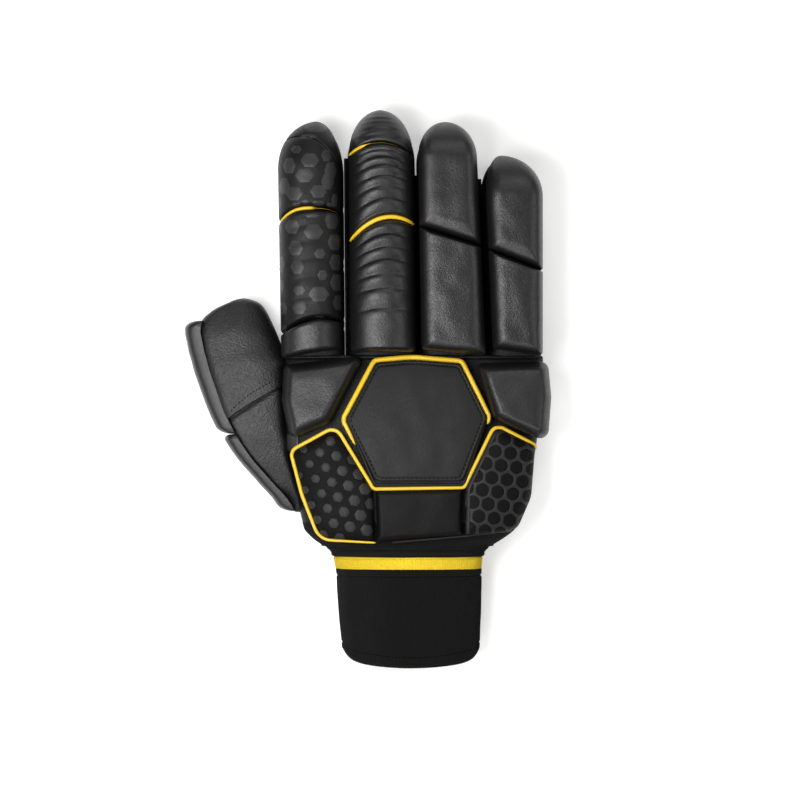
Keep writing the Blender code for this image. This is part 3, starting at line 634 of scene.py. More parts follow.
def make_roll(
    name, node, finger, low, high, make_section, sculpt=None, columns=64, pitch=0.75, finish=None,
):
    """A foam roll between two seams of a finger, or between its last seam and its tip."""
    section = make_section(low, high)
    half = roll_width(finger) / 2
    at_tip = high.y >= finger.end
    start, stop = low.y + low.gap / 2, high.y - (0.0 if at_tip else high.gap / 2)

    def place(u, v):
        v = clustered(v)
        if at_tip:
            v = 1 - (1 - v) ** 1.35
        seam = Seam(*(between(a, b, v) for a, b in zip(low, high)))
        station = between(start, stop, v)
        from_low, from_high = station - start, stop - station
        across, up = section(u, from_low, from_high)
        bow = abs(across - seam.peak) ** seam.power
        y = station - seam.bow * half * bow + seam.slant * across * half
        share = tip_share(finger.end - y, finger.tip * half * 2)
        left, right = roll_sides(finger, y)
        room = (right - left) / 2
        shift = room * finger.tip_shift * (1 - share)
        room -= rounded_off(from_low, LOW_CORNER * (1 - low.meet))
        room -= rounded_off(from_high, HIGH_CORNER * (1 - high.under))
        x = (left + right) / 2 + room * across * share + shift
        height = ROLL_THICKNESS * up * between(TIP_THICKNESS, 1.0, share)
        if sculpt:
            height += sculpt(across, station, up) * share
        height += unevenness(Vector((x, y, height)), 10.0, 0.45) * up * share
        return Vector((x, y, stall_top(finger, y) + SEAT + height))

    rows = max(18, round((stop - start) / pitch))
    shape = fine_sheet(columns, rows, place)
    tucked_under(shape, lambda x, y: stall_top(finger, y) + SEAT)
    finished(name, shape, finish or cover_black, "foam_cover", [node])


def sewn_roll(low, high, reach=2.8):
    """The section of a round roll, lower near its sewn ends."""
    def section(u, from_low, from_high):
        across, up = round_section(u)
        end = round_end(from_low, reach, low.meet) * round_end(from_high, reach, high.under)
        return across, up * end
    return section


def draped(shape, trees, least_facing=0.12):
    """Lays a flat shape on surfaces: each point's height becomes its height above them."""
    lost = []
    for vert in shape.verts:
        hits = [on_surface(surfaces[tree], vert.co.x, vert.co.y) for tree in trees]
        hits = [hit for hit in hits if hit[0] is not None and hit[1].z > least_facing]
        if not hits:
            lost.append(vert)
            continue
        place, facing = max(hits, key=lambda hit: hit[0].z)
        vert.co = place + facing * vert.co.z
    bmesh.ops.delete(shape, geom=lost, context="VERTS")


def flat_hexagon(shape, x, y, width, height, corner, turn=0.0):
    """A flat hexagon with rounded corners, two of its sides level if it isn't turned."""
    place = (
        Matrix.Translation((x, y, 0.0)) @ Matrix.Rotation(turn, 4, "Z")
        @ Matrix.Diagonal((width, height * FLAT_TOP_STRETCH, 1.0, 1.0))
        @ Matrix.Rotation(math.pi / 6, 4, "Z")
    )
    made = bmesh.ops.create_circle(shape, cap_ends=True, segments=6, radius=0.5, matrix=place)
    bmesh.ops.bevel(
        shape, geom=made["verts"], offset=corner, offset_type="OFFSET", segments=3, profile=0.5,
        affect="VERTICES", material=-1,
    )


def thickened(shape, low, rim, high):
    """Makes a flat shape a thin solid: its underside at low, its rim at rim and its top at high."""
    edge = {vert for vert in shape.verts if vert.is_boundary}
    made = bmesh.ops.extrude_face_region(
        shape, geom=[*shape.verts, *shape.edges, *shape.faces], use_keep_orig=True,
    )["geom"]
    top = {part for part in made if isinstance(part, bmesh.types.BMVert)}
    for vert in shape.verts:
        vert.co.z = high if vert in top else low
    for vert in top:
        if any(other.other_vert(vert) in edge for other in vert.link_edges):
            vert.co.z = rim


def index_folds(across, station, up):
    """Soft folds across the index finger's lower roll."""
    folds = (52.0, 62.5, 72.5, 82.0, 90.5)
    return sum(dent(station - line, 1.9, 0.45) for line in folds) * up * (1 - across**4)


index_black = leather("matt_printed_cover", INDEX_COVER_COLOUR, 0.52, 0.60, 0.06, 0.25, 0.22)
for number, (name, node) in enumerate(INDEX_ROLLS):
    low, high = INDEX_SEAMS[number], INDEX_SEAMS[number + 1]
    make_roll(
        name, node, INDEX, low, high, sewn_roll, index_folds if number == 1 else None,
        finish=index_black if number else cover_black,
    )

print_grey = leather("raised_grey_print", PRINT_COLOUR, 0.46, 0.60, 0.04, 0.15, 0.32)
shape = bmesh.new()
for x, y, width, height in INDEX_PRINT:
    flat_hexagon(shape, x, y, width, height, min(width, height) * 0.07)
bmesh.ops.poke(shape, faces=shape.faces)
bmesh.ops.subdivide_edges(shape, edges=shape.edges, cuts=3, use_grid_fill=True)
thickened(shape, -0.2, PRINT_RISE * 0.3, PRINT_RISE)
draped(shape, [name for name, _ in INDEX_ROLLS[1:]], 0.10)
finished("index_hexagon_print", shape, print_grey, "foam_cover")

# Middle finger
# Three foam rolls covered in coated cloth. Their foam is moulded in soft crescent ribs that lie
# over each other like shingles, closest at the fingertip and widest near the knuckle.

MIDDLE_SEAMS = (
    Seam(20.2, 0.04, 0.00, 2.0, 0.0, 1.2, 0.50, 0.50),
    Seam(95.0, 0.42, 0.30, 2.0, 0.0, 2.2, 0.78, 0.72),
    Seam(136.0, 0.36, 0.00, 2.0, 0.0, 1.2, 0.86, 0.86),
    Seam(155.0, 0.00, 0.00, 2.0, 0.0, 0.0, 1.0, 1.0),
)
MIDDLE_ROLLS = (
    ("middle_lower_roll", "middle_lower_pad", 1.75, (44.6, 56.0, 63.8, 71.6, 78.8, 85.5, 92.0)),
    ("middle_middle_roll", "middle_middle_pad", 1.60, (99.3, 105.5, 112.3, 118.2, 123.8, 128.2, 132.1)),
    ("middle_tip_roll", "middle_tip_pad", 1.50, (140.4, 143.7, 146.5, 149.3, 151.5)),
)


def shingled(valleys, depth):
    """Crescent ribs between valleys, each highest just below the valley above it."""
    def sculpt(across, station, up):
        fade = max(1 - ((across + 0.05) / 0.92) ** 2, 0.0)
        height = 0.0
        for low, high in zip(valleys, valleys[1:]):
            if low < station <= high:
                down = (high - station) / (high - low)
                height = (1 - math.exp(-down / 0.17)) * (1 - down) ** 0.60 * 1.35
        if station <= valleys[0]:
            below = valleys[0] - station
            height = 0.9 * math.exp(-below / 14.0) * (1 - math.exp(-below / 1.6))
        if station > valleys[-1]:
            height = 0.55 * min((station - valleys[-1]) / 2.0, 1.0)
        return depth * (height - 0.5) * fade * up
    return sculpt


for number, (name, node, depth, valleys) in enumerate(MIDDLE_ROLLS):
    low, high = MIDDLE_SEAMS[number], MIDDLE_SEAMS[number + 1]
    make_roll(name, node, MIDDLE, low, high, sewn_roll, shingled(valleys, depth), pitch=0.48)

# Ring and little fingers
# Two foam blocks each, pressed with a flat top and bevelled sides and covered in coated cloth.
# The seam between two blocks slants towards the little finger.

RING_SEAMS = (
    Seam(19.5, 0.0, 0.0, 2.0, -0.09, 1.2, 0.70, 0.70),
    Seam(84.5, 0.0, 0.0, 2.0, -0.30, 0.7, 0.80, 0.84),
    Seam(148.4, 0.0, 0.0, 2.0, 0.0, 0.0, 1.0, 1.0),
)
LITTLE_SEAMS = (
    Seam(19.9, 0.0, 0.0, 2.0, -0.12, 1.2, 0.70, 0.70),
    Seam(71.3, 0.0, 0.0, 2.0, -0.43, 0.7, 0.80, 0.84),
    Seam(129.7, 0.0, 0.0, 2.0, 0.0, 0.0, 1.0, 1.0),
)
# name, node, finger, its two seams and the width of the bevel at its lower end
BLOCKS = (
    ("ring_lower_block", "ring_lower_pad", RING, RING_SEAMS[0], RING_SEAMS[1], 5.6),
    ("ring_tip_block", "ring_tip_pad", RING, RING_SEAMS[1], RING_SEAMS[2], 8.8),
    ("little_lower_block", "little_lower_pad", LITTLE, LITTLE_SEAMS[0], LITTLE_SEAMS[1], 5.6),
    ("little_tip_block", "little_tip_pad", LITTLE, LITTLE_SEAMS[1], LITTLE_SEAMS[2], 8.8),
)
SIDE_BEVEL = 6.4
BEVEL_FOOT = 0.90
EDGE_DROP = 0.34


def soft_least(first, second, softness):
    """The lesser of two values, with the corner between them rounded."""
    return (first + second - math.sqrt((first - second) ** 2 + softness * softness)) / 2


def bevel_rise(distance, width, softness=0.34):
    """How high a bevelled side stands, from its edge inwards, as a share of the thickness."""
    ramp = soft_least(distance / width, 1.0, softness)
    rounded_edge = EDGE_DROP * math.exp(-distance / 1.2)
    return BEVEL_FOOT + (1 - BEVEL_FOOT) * ramp - rounded_edge


def make_block(name, node, finger, low, high, end_bevel):
    half = roll_width(finger) / 2

    def section(u, from_low, from_high):
        across = 2 * u - 1
        across = between(across, math.sin(across * math.pi / 2), 0.55)
        side = (1 - abs(across)) * half
        up = soft_least(bevel_rise(side, SIDE_BEVEL, 0.3), bevel_rise(from_low, end_bevel, 0.05), 0.012)
        if high.meet < 1:
            up = soft_least(up, bevel_rise(from_high, 3.0) + 0.12, 0.03)
        corner = math.hypot(side, from_low)
        pucker = dent(side - from_low * 0.8, 0.45, 0.030) * math.exp(-((corner - 3.0) / 2.4) ** 2)
        pucker += dent(side - from_low * 0.45, 0.35, 0.020) * math.exp(-((corner - 4.5) / 2.0) ** 2)
        return across, up * (1.02 - 0.03 * across**2) + pucker

    make_roll(name, node, finger, low, high, lambda low, high: section, columns=72, pitch=0.62)


for block in BLOCKS:
    make_block(*block)

# Finger piping
# Yellow coated cord sewn into the seams between the rolls. It bulges out on the index finger's
# side and dives into the seam towards the other, as the rolls press on it.

PIPING_COLOUR = (0.60, 0.385, 0.009)
SUNK_PIPING = 6.0
# name, node, finger, seam, thickness, and how far over the roll it shows, from -1 to 1
FINGER_PIPING = (
    ("index_seam_piping", "index_piping", INDEX, INDEX_SEAMS[2], 0.95, 0.05),
    ("middle_lower_seam_piping", "middle_lower_piping", MIDDLE, MIDDLE_SEAMS[1], 1.25, 1.20),
    ("middle_upper_seam_piping", "middle_upper_piping", MIDDLE, MIDDLE_SEAMS[2], 0.90, -0.40),
)
piping_yellow = leather("yellow_coated_piping", PIPING_COLOUR, 0.38, 0.5, 0.05, 0.12)


def cord_along(name, path, thickness_at, node, finish=None, slot="piping", sides=12):
    """A round cord along a smooth line through points, as thick as thickness_at(share) says."""
    rows = [(number, *point) for number, point in enumerate(path)]
    count = max(12, round(sum((b - a).length for a, b in zip(path, path[1:])) / 0.9))
    line = [Vector(eased(rows, (len(path) - 1) * step / count)) for step in range(count + 1)]

    def place(u, v):
        number = round(v * count)
        along = (line[min(number + 1, count)] - line[max(number - 1, 0)]).normalized()
        side = along.cross(Vector((0.0, 0.0, 1.0))).normalized()
        radius = thickness_at(v) / 2
        radius *= tip_share(min(number, count - number) + 0.02, 3.0)
        angle = 2 * math.pi * u
        return line[number] + (side * math.cos(angle) + side.cross(along) * math.sin(angle)) * radius

    shape = fine_sheet(sides, count, place)
    bmesh.ops.holes_fill(shape, edges=open_edges(shape), sides=0)
    finished(name, shape, finish or piping_yellow, slot, [node] if node else ())


for name, node, finger, seam, thickness, shown in FINGER_PIPING:
    half = roll_width(finger) / 2
    path = []
    for step in range(29):
        across, up = round_section(between(0.02, 0.98, step / 28))
        y = seam.y - seam.bow * half * abs(across - seam.peak) ** seam.power
        left, right = roll_sides(finger, y)
        sunk = SUNK_PIPING * limited((across - shown) / 0.20) ** 1.5
        height = ROLL_THICKNESS * up * min(seam.meet * 1.10, 0.93) + 0.4 - sunk
        x = (left + right) / 2 + (half - 0.6) * across
        path.append(Vector((x, y, stall_top(finger, y) + SEAT + height)))

    def thickness_at(share):
        across = 2 * share - 1
        full = 2 * thickness * (1 - 0.55 * abs(across) ** 2)
        return full * (1 - 0.8 * limited((across - shown) / 0.15))

    cord_along(name, path, thickness_at, node)

# Knuckle blocks
# Two thick foam blocks behind the index and the little finger, with wide soft bevels, covered
# in coated cloth and sewn down on the back of the hand.

Corner = namedtuple("Corner", "x y radius")
INDEX_BLOCK = (
    Corner(-46.9, 14.1, 3.0), Corner(-3.7, 19.5, 3.0), Corner(-1.7, 15.5, 2.5),
    Corner(-19.4, -19.6, 5.0), Corner(-42.7, -29.3, 4.0), Corner(-47.8, -6.5, 10.0),
)
LITTLE_BLOCK = (
    Corner(59.0, 15.1, 3.0), Corner(101.6, 16.4, 5.0), Corner(103.4, -4.4, 21.0),
    Corner(101.3, -31.2, 5.0), Corner(69.5, -17.1, 5.0),
)
KNUCKLE_THICKNESS = 15.5
# a pad's grid: narrow rings of faces along its edge, and wider ones inside them
EDGE_RING = 0.35
EDGE_RINGS = 15
INNER_RINGS = 22


def edge_line(corners, drawn_in, pitch=0.8, closed=True):
    """A line through corners turned into arcs, drawn in by a distance, as points of the plan."""
    places = [Vector((corner.x, corner.y)) for corner in corners]
    sides = []
    for number, place in enumerate(places):
        before = (places[number - 1] - place).normalized()
        after = (places[(number + 1) % len(places)] - place).normalized()
        sides.append((before, after, before.angle(after) / 2))
    if closed:
        places = [
            place + (before + after).normalized() * drawn_in / math.sin(half)
            for place, (before, after, half) in zip(places, sides)
        ]
    line = []
    for number, (place, (before, after, half)) in enumerate(zip(places, sides)):
        if not closed and number in (0, len(places) - 1):
            line.append(place)
            continue
        following = places[(number + 1) % len(places)]
        shorter = min((places[number - 1] - place).length, (following - place).length)
        reach = min(corners[number].radius / math.tan(half), shorter * 0.48)
        radius = reach * math.tan(half)
        centre = place + (before + after).normalized() * (radius / math.sin(half))
        start = place + before * reach - centre
        turn = start.angle_signed(place + after * reach - centre, 0.0)
        for step in range(11):
            line.append(centre + Matrix.Rotation(-turn * step / 10, 2) @ start)
    if closed:
        line.append(line[0])
    return evenly(line, pitch)


def make_back_pad(
    name, node, corners, thickness, rise, finish, slot, drawn_in, sculpt=None, level=0.0,
):
    """A foam pad on the back of the hand. rise lists how high it stands at distances inwards, and
    level is the share of the hand's fall towards its side that the foam makes up for."""
    outline = edge_line(corners, drawn_in)
    centre = sum(outline, Vector((0.0, 0.0))) / len(outline)
    tree = kdtree.KDTree(len(outline))
    for number, point in enumerate(outline):
        tree.insert((*point, 0.0), number)
    tree.balance()
    reach = sum((point - centre).length for point in outline) / len(outline)
    rings = [step * EDGE_RING for step in range(EDGE_RINGS + 1)]
    rings += [between(rings[-1], reach, step / INNER_RINGS) for step in range(1, INNER_RINGS + 1)]

    def place(u, v):
        edge = outline[round(u * len(outline)) % len(outline)]
        point = edge.lerp(centre, rings[round(v * (len(rings) - 1))] / reach)
        x, y = point
        distance = tree.find((x, y, 0.0))[2]
        height = thickness * eased(rise, distance)[0]
        if sculpt:
            height += sculpt(distance)
        height += unevenness(Vector((x, y, thickness)), 12.0, 0.45) * min(distance / 3, 1.0)
        height += level * (eased(HAND_ROWS, y)[2] - back_of_hand(x, y))
        return Vector((x, y, back_of_hand(x, y) + SEAT + height))

    shape = fine_sheet(len(outline), len(rings) - 1, place)
    tucked_under(shape, lambda x, y: back_of_hand(x, y) + SEAT)
    finished(name, shape, finish, slot, [node] if node else ())


# A welt covers the seam between the hand and the stalls, from one side of the hand to the other.
welt = []
for step in range(25):
    x = -47 + 6.05 * step
    welt.append(Vector((x, KNUCKLE_LINE + 0.3, back_of_hand(x, KNUCKLE_LINE) + 0.1)))
cord_along("knuckle_seam_welt", welt, lambda share: 2.2, None, hand_black, "leather")

# distance from the edge, and how high the block stands there as a share of its thickness
BLOCK_RISE = (
    (0.0, 0.42), (0.7, 0.60), (2.0, 0.79), (3.8, 0.93), (5.4, 0.985), (9.0, 1.0), (30.0, 1.01),
)
for name, node, corners in (
    ("index_block", "index_knuckle_block", INDEX_BLOCK),
    ("little_block", "little_knuckle_block", LITTLE_BLOCK),
):
    make_back_pad(
        name, node, corners, KNUCKLE_THICKNESS, BLOCK_RISE, cover_black, "foam_cover", 1.0, level=0.75,
    )

# Hexagon patch
# A raised patch of matt coated cloth on foam in the middle of the back of the hand. Its edge is
# turned and sewn with a row of black stitches, and thick yellow piping runs round its upper part.

PATCH_COLOUR = (0.0034, 0.0034, 0.0035)
HEXAGON = (
    Corner(-13.0, -16.9, 4.0), Corner(4.4, 15.9, 4.0), Corner(24.8, 17.7, 60.0),
    Corner(52.8, 15.5, 4.0), Corner(68.2, -15.7, 4.0), Corner(54.3, -52.4, 4.0),
    Corner(4.5, -52.6, 4.0),
)
HEXAGON_THICKNESS = 9.5
HEXAGON_RISE = (
    (0.0, 0.80), (0.3, 0.90), (0.9, 0.95), (2.2, 0.97), (4.0, 0.98), (9.0, 1.0), (40.0, 1.03),
)
HEXAGON_DRAWN_IN = 1.4
PATCH_BASE = (
    Corner(-12.6, -18.5, 4.0), Corner(4.4, 13.5, 4.0), Corner(52.8, 13.1, 4.0),
    Corner(67.8, -17.5, 4.0), Corner(55.2, -55.0, 4.0), Corner(3.4, -55.2, 4.0),
)
PATCH_BASE_THICKNESS = 6.8
PATCH_BASE_RISE = ((0.0, 0.80), (0.5, 0.95), (1.4, 1.0), (2.2, 0.90), (40.0, 0.90))
STITCH_LINE = 1.9
patch_black = leather("matt_patch_cloth", PATCH_COLOUR, 0.56, 0.70, 0.08, 0.20, 0.26)


def stitched_edge(distance):
    """The shallow groove that the row of stitches pulls into the patch."""
    return dent(distance - STITCH_LINE, 0.50, 0.45)


make_back_pad(
    "hexagon_patch_base", None, PATCH_BASE, PATCH_BASE_THICKNESS, PATCH_BASE_RISE, patch_black,
    "patch_cover", 1.0,
)
make_back_pad(
    "hexagon_patch_cover", "hexagon_patch", HEXAGON, HEXAGON_THICKNESS, HEXAGON_RISE, patch_black,
    "patch_cover", HEXAGON_DRAWN_IN, stitched_edge,
)
row = edge_line(HEXAGON, HEXAGON_DRAWN_IN + STITCH_LINE)
stitches(
    "hexagon_stitches", ["hexagon_patch_cover"], row + row[:1], 2.4, 1.6, 0.62, slot="patch_cover",
)


def along_back(corners, lift):
    """A path on the leather of the back of the hand, as points in space."""
    return [
        Vector((x, y, back_of_hand(x, y) + lift))
        for x, y in edge_line(corners, 0.0, 2.4, closed=False)
    ]


def hexagon_piping_thickness(share):
    start = 1 - 0.75 * math.exp(-share / 0.05)
    return 2.9 * start * (1 - 0.6 * math.exp(-(1 - share) / 0.03))


hexagon_piping_line = (
    Corner(-6.1, -31.0, 0.0), *[corner._replace(radius=3.2) for corner in HEXAGON[:2]], HEXAGON[2],
    *[corner._replace(radius=3.2) for corner in HEXAGON[3:5]], Corner(66.4, -20.6, 0.0),
)
cord_along(
    "hexagon_edge_piping", along_back(hexagon_piping_line, 7.0), hexagon_piping_thickness,
    "hexagon_piping",
)

# Wrist panels
# Three padded panels behind the patch. The left one is printed with raised grey dots, the right
# one carries a raised grey honeycomb, and a plain bevelled block lies between them. The block's
# cover is the knuckle blocks' coated cloth, made darker here as painted shade.

PANEL_COLOUR = (0.0016, 0.0016, 0.0017)
RAISED_COLOUR = (0.0130, 0.0130, 0.0133)
WEB_COLOUR = (0.0120, 0.0120, 0.0123)
# painted shade: the bottom block's cover is the knuckle blocks' cloth, its colour darkened for the
# shade there
BLOCK_PAINTED_SHADE_COLOUR = (0.0026, 0.0026, 0.0027)
PANEL_THICKNESS = 8.0
PANEL_TOP = (Corner(4.1, -55.3, 1.5), Corner(54.0, -54.4, 1.5))
PANEL_FOOT = (Corner(5.3, -85.0, 1.5), Corner(53.5, -81.6, 1.5))
LEFT_SEAM = (
    Corner(-26.0, -83.3, 10.0), Corner(-35.7, -58.5, 20.0), Corner(-42.1, -34.3, 4.5),
    Corner(-17.1, -20.6, 6.0),
)
RIGHT_SEAM = (
    Corner(71.2, -19.4, 5.0), Corner(94.4, -31.2, 4.5), Corner(92.2, -60.0, 20.0),
    Corner(83.6, -79.8, 9.0),
)
PANEL_RISE = ((0.0, 0.50), (0.6, 0.66), (2.2, 0.84), (5.0, 0.97), (10.0, 1.02), (30.0, 1.08))
BOTTOM_RISE = ((0.0, 0.50), (0.4, 0.66), (1.6, 0.88), (3.0, 0.97), (9.0, 1.0), (30.0, 1.03))
# one dot, the steps from it to its neighbours, and how the dots grow towards the middle
DOT_START = Vector((-31.4, -41.4))
DOT_ACROSS = Vector((9.1, -1.9))
DOT_DOWN = Vector((3.34, -8.19))
DOT_SIZE = 4.35
DOT_GROWTH = 0.062
CELL_START = Vector((69.4, -49.0))
CELL_PITCH = 8.5
CELL_TURN = -0.132
WEB_WIDTH = 1.6

panel_black = leather("panel_cloth", PANEL_COLOUR, 0.62, 0.60, 0.08, 0.20, 0.10)
# the bottom block's cover: the knuckle blocks' coated cloth with painted shade in its colour
block_cover_painted_shade = leather("bottom_block_cover_painted_shade", BLOCK_PAINTED_SHADE_COLOUR, 0.52, 0.70, 0.08, 0.20, 0.12)
raised_grey = leather("raised_grey_dots", RAISED_COLOUR, 0.50, 0.50, 0.04, 0.15, 0.20)
web_grey = leather("raised_grey_web", WEB_COLOUR, 0.52, 0.50, 0.04, 0.15, 0.20)
left_panel = (PANEL_FOOT[0], *LEFT_SEAM, PANEL_TOP[0])
bottom_block = (*PANEL_TOP, PANEL_FOOT[1], PANEL_FOOT[0])
right_panel = (PANEL_TOP[1], *RIGHT_SEAM, PANEL_FOOT[1])
for name, node, corners, rise, finish, slot in (
    ("left_panel_cover", "left_wrist_panel", left_panel, PANEL_RISE, panel_black, "patch_cover"),
    ("bottom_block_cover", "bottom_wrist_block", bottom_block, BOTTOM_RISE, block_cover_painted_shade, "foam_cover"),
    ("right_panel_cover", "right_wrist_panel", right_panel, PANEL_RISE, panel_black, "patch_cover"),
):
    make_back_pad(name, node, corners, PANEL_THICKNESS, rise, finish, slot, 0.8)

shape = bmesh.new()
for across in range(-3, 8):
    for down in range(-4, 8):
        x, y = DOT_START + DOT_ACROSS * across + DOT_DOWN * down
        size = limited(DOT_SIZE + DOT_GROWTH * (x - DOT_START.x), 3.4, 6.1)
        if on_surface(surfaces["left_panel_cover"], x, y)[0] is not None:
            flat_hexagon(shape, x, y, size * 1.10, size * 1.06, 0.55, 0.9)
bmesh.ops.poke(shape, faces=shape.faces)
bmesh.ops.subdivide_edges(shape, edges=shape.edges, cuts=2, use_grid_fill=True)
thickened(shape, -0.3, 0.22, 0.50)
draped(shape, ["left_panel_cover"], 0.10)
finished("left_panel_dots", shape, raised_grey, "patch_cover")

shape = bmesh.new()
turned = Matrix.Rotation(CELL_TURN, 2)
for across in range(-7, 8):
    for down in range(-6, 8):
        step = Vector(((across + down / 2) * CELL_PITCH, -down * CELL_PITCH * math.sqrt(3) / 2))
        x, y = CELL_START + turned @ step
        place = Matrix.Translation((x, y, 0.0)) @ Matrix.Rotation(CELL_TURN, 4, "Z")
        bmesh.ops.create_circle(
            shape, cap_ends=True, segments=6, radius=CELL_PITCH / math.sqrt(3), matrix=place,
        )
bmesh.ops.remove_doubles(shape, verts=shape.verts, dist=0.05)
cells = list(shape.faces)
bmesh.ops.inset_individual(shape, faces=cells, thickness=WEB_WIDTH / 2, use_even_offset=True)
bmesh.ops.delete(shape, geom=cells, context="FACES_ONLY")
bmesh.ops.subdivide_edges(shape, edges=shape.edges, cuts=2, use_grid_fill=True)
rims = {
    vert: [edge.other_vert(vert) for edge in vert.link_edges if edge.is_boundary]
    for vert in shape.verts if vert.is_boundary
}
rounder = {
    vert: (vert.co * 2 + sum((other.co for other in beside), Vector())) / 4
    for vert, beside in rims.items() if len(beside) == 2
}
for vert, place in rounder.items():
    vert.co = place
web_edge = edge_line(right_panel, 1.2, 3.0)
for first, second in zip(web_edge, web_edge[1:] + web_edge[:1]):
    out = Vector((first.y - second.y, second.x - first.x, 0.0)).normalized()
    bmesh.ops.bisect_plane(
        shape, geom=[*shape.verts, *shape.edges, *shape.faces], plane_co=(*first, 0.0),
        plane_no=out, clear_outer=True,
    )
thickened(shape, -0.3, 0.25, 0.55)
draped(shape, ["right_panel_cover"], 0.08)
finished("right_panel_web", shape, web_grey, "patch_cover")

margin = [Vector((54.9, -80.4)), Vector((55.3, -54.4)), Vector((70.2, -23.4))]
margin_line = evenly([Vector((*point, 0.0)) for point in margin], 1.0)


def margin_at(u, v):
    point = margin_line[round(v * (len(margin_line) - 1))]
    return point + Vector((between(0.2, 2.1, u), between(0.0, -0.6, u), 0.0))


shape = fine_sheet(3, len(margin_line) - 1, margin_at)
thickened(shape, -0.3, 0.3, 0.62)
draped(shape, ["right_panel_cover"], 0.05)
finished("right_panel_margin", shape, web_grey, "patch_cover")

def panel_piping_thickness(share):
    start = 1 - 0.45 * math.exp(-((share / 0.12) ** 2))
    return 2.1 * start * (1 - 0.6 * math.exp(-(1 - share) / 0.02))


panel_piping_line = (
    PANEL_FOOT[0], *LEFT_SEAM, *PANEL_TOP, *RIGHT_SEAM[:2], Corner(94.0, -35.6, 0.0),
)
cord_along(
    "panel_edge_piping", along_back(panel_piping_line, 5.6), panel_piping_thickness, "panel_piping",
)
bottom_edge = along_back(
    (Corner(14.0, -84.9, 0.0), Corner(53.5, -81.5, 30.0), Corner(81.5, -78.2, 0.0)), 4.4,
)
cord_along("panel_foot_binding", bottom_edge, lambda share: 1.0, None, web_grey, "patch_cover")

# A short tab of leather lies beside the left panel.
TAB_MIDDLE = Vector((-40.6, -29.6, 0.0))
TAB_WIDTH = 6.4
TAB_LENGTH = 9.5
shape = bmesh.new()
bmesh.ops.create_grid(shape, x_segments=14, y_segments=16, size=0.5)
for vert in shape.verts:
    across, along, _ = vert.co
    vert.co = TAB_MIDDLE + Vector((TAB_WIDTH * across + 0.12 * along, TAB_LENGTH * along, 0.0))
thickened(shape, 0.1, 0.9, 1.3)
draped(shape, ["palm_and_back"], 0.05)
finished("strap_tab", shape, print_grey, "leather")

# Knitted wrist
# A tube of black rib knit that stretches over the wrist: a gathered band against the leather, a
# yellow stripe knitted in, and the long cuff with its two sewn bands and its turned hem.

KNIT_COLOUR = (0.0027, 0.0027, 0.0028)
RIBS_DRAWN_OUT = 1.15  # the ribs fold the knit, so it is wider than the tube when it lies flat
STRIPE_COLOUR = (0.64, 0.455, 0.022)
YARN_FUZZ = 1400.0
KNIT_WALL = 2.5
KNIT_RIBS = 172
CUFF_START = -86.6
HEM_BOW = 6.8
CUFF_LENGTH = 68.1
# distance behind the hand, width, height, middle, squareness
CUFF_ROWS = (
    (0.0, 94.5, 35.0, 22.8, 3.4),
    (4.1, 87.1, 35.6, 22.9, 3.1),
    (8.9, 82.8, 36.0, 23.1, 2.9),
    (17.7, 81.0, 36.1, 23.5, 2.8),
    (40.9, 79.3, 36.3, 24.1, 2.7),
    (68.1, 76.8, 36.5, 24.6, 2.6),
)
SEWN_LINES = (3.0, 17.6, 62.2)
# name, node, start and stop behind the hand, rows, finish, slot
KNIT_PARTS = (
    ("wrist_band_knit", "wrist_band", 0.4, 6.5, 22, "black_knit", "knit"),
    ("wrist_stripe_knit", "wrist_stripe", 6.9, 13.5, 18, "yellow_knit", "stripe"),
    ("cuff_knit", "cuff", 13.9, 68.1, 84, "black_knit", "knit"),
)


def knit(name, colour, ribs, rows, depth):
    """Rib knit on the piece's own UV map: columns of loops, with uneven, slightly fuzzy yarn."""
    made, surface, link = new_material(name, {
        "Roughness": 0.92, "Specular IOR Level": 0.10, "Sheen Weight": 0.03, "Sheen Roughness": 0.6,
    })
    coordinates = added(made, "TexCoord", {})
    split = added(made, "SeparateXYZ", {})
    link(coordinates.outputs["UV"], split.inputs["Vector"])

    def wave(source, count):
        turns = added(made, "Math", {1: 2 * math.pi * count}, "MULTIPLY")
        link(source, turns.inputs[0])
        height = added(made, "Math", {}, "SINE")
        link(turns.outputs["Value"], height.inputs[0])
        return height.outputs["Value"]

    loops = added(made, "Math", {1: 0.5}, "MULTIPLY_ADD")
    link(wave(split.outputs["Y"], rows), loops.inputs[0])
    link(wave(split.outputs["X"], ribs * 2), loops.inputs[2])
    fuzz = added(made, "TexNoise", {"Scale": YARN_FUZZ, "Detail": 3.0})
    link(coordinates.outputs["Object"], fuzz.inputs["Vector"])
    height = added(made, "Math", {1: 1.6}, "MULTIPLY_ADD")
    link(fuzz.outputs["Fac"], height.inputs[0])
    link(loops.outputs["Value"], height.inputs[2])
    bump = added(made, "Bump", {"Distance": depth * MILLIMETRE})
    link(height.outputs["Value"], bump.inputs["Height"])
    link(bump.outputs["Normal"], surface["Normal"])
    link(mottled(made, colour, 0.55, 1.35, fuzz.outputs["Fac"]), surface["Base Color"])
    return made


knits = {
    "black_knit": knit("black_rib_knit", KNIT_COLOUR, KNIT_RIBS, 70, 0.16),
    "yellow_knit": knit("yellow_rib_knit", STRIPE_COLOUR, KNIT_RIBS, 9, 0.10),
}


def cuff_at(distance, u, inward=0.0):
    width, height, middle, squareness = eased(CUFF_ROWS, distance)
    across, up = squared_circle(2 * math.pi * u, squareness)
    bow = HEM_BOW * (distance / CUFF_LENGTH) ** 2
    x = middle + (width / 2 - inward) * across
    z = (height - PRESSED_FLAT) / 2 + ((height + PRESSED_FLAT) / 2 - inward) * up
    lifted = bow * (0.62 * across**2 + 0.80 * abs(across) ** 12)
    return Vector((x, CUFF_START - distance + lifted, max(z, inward)))


def girth(distance):
    """The length round the knitted tube at a distance from its upper end."""
    around = [cuff_at(distance, step / 120) for step in range(121)]
    return sum((second - first).length for first, second in zip(around, around[1:]))


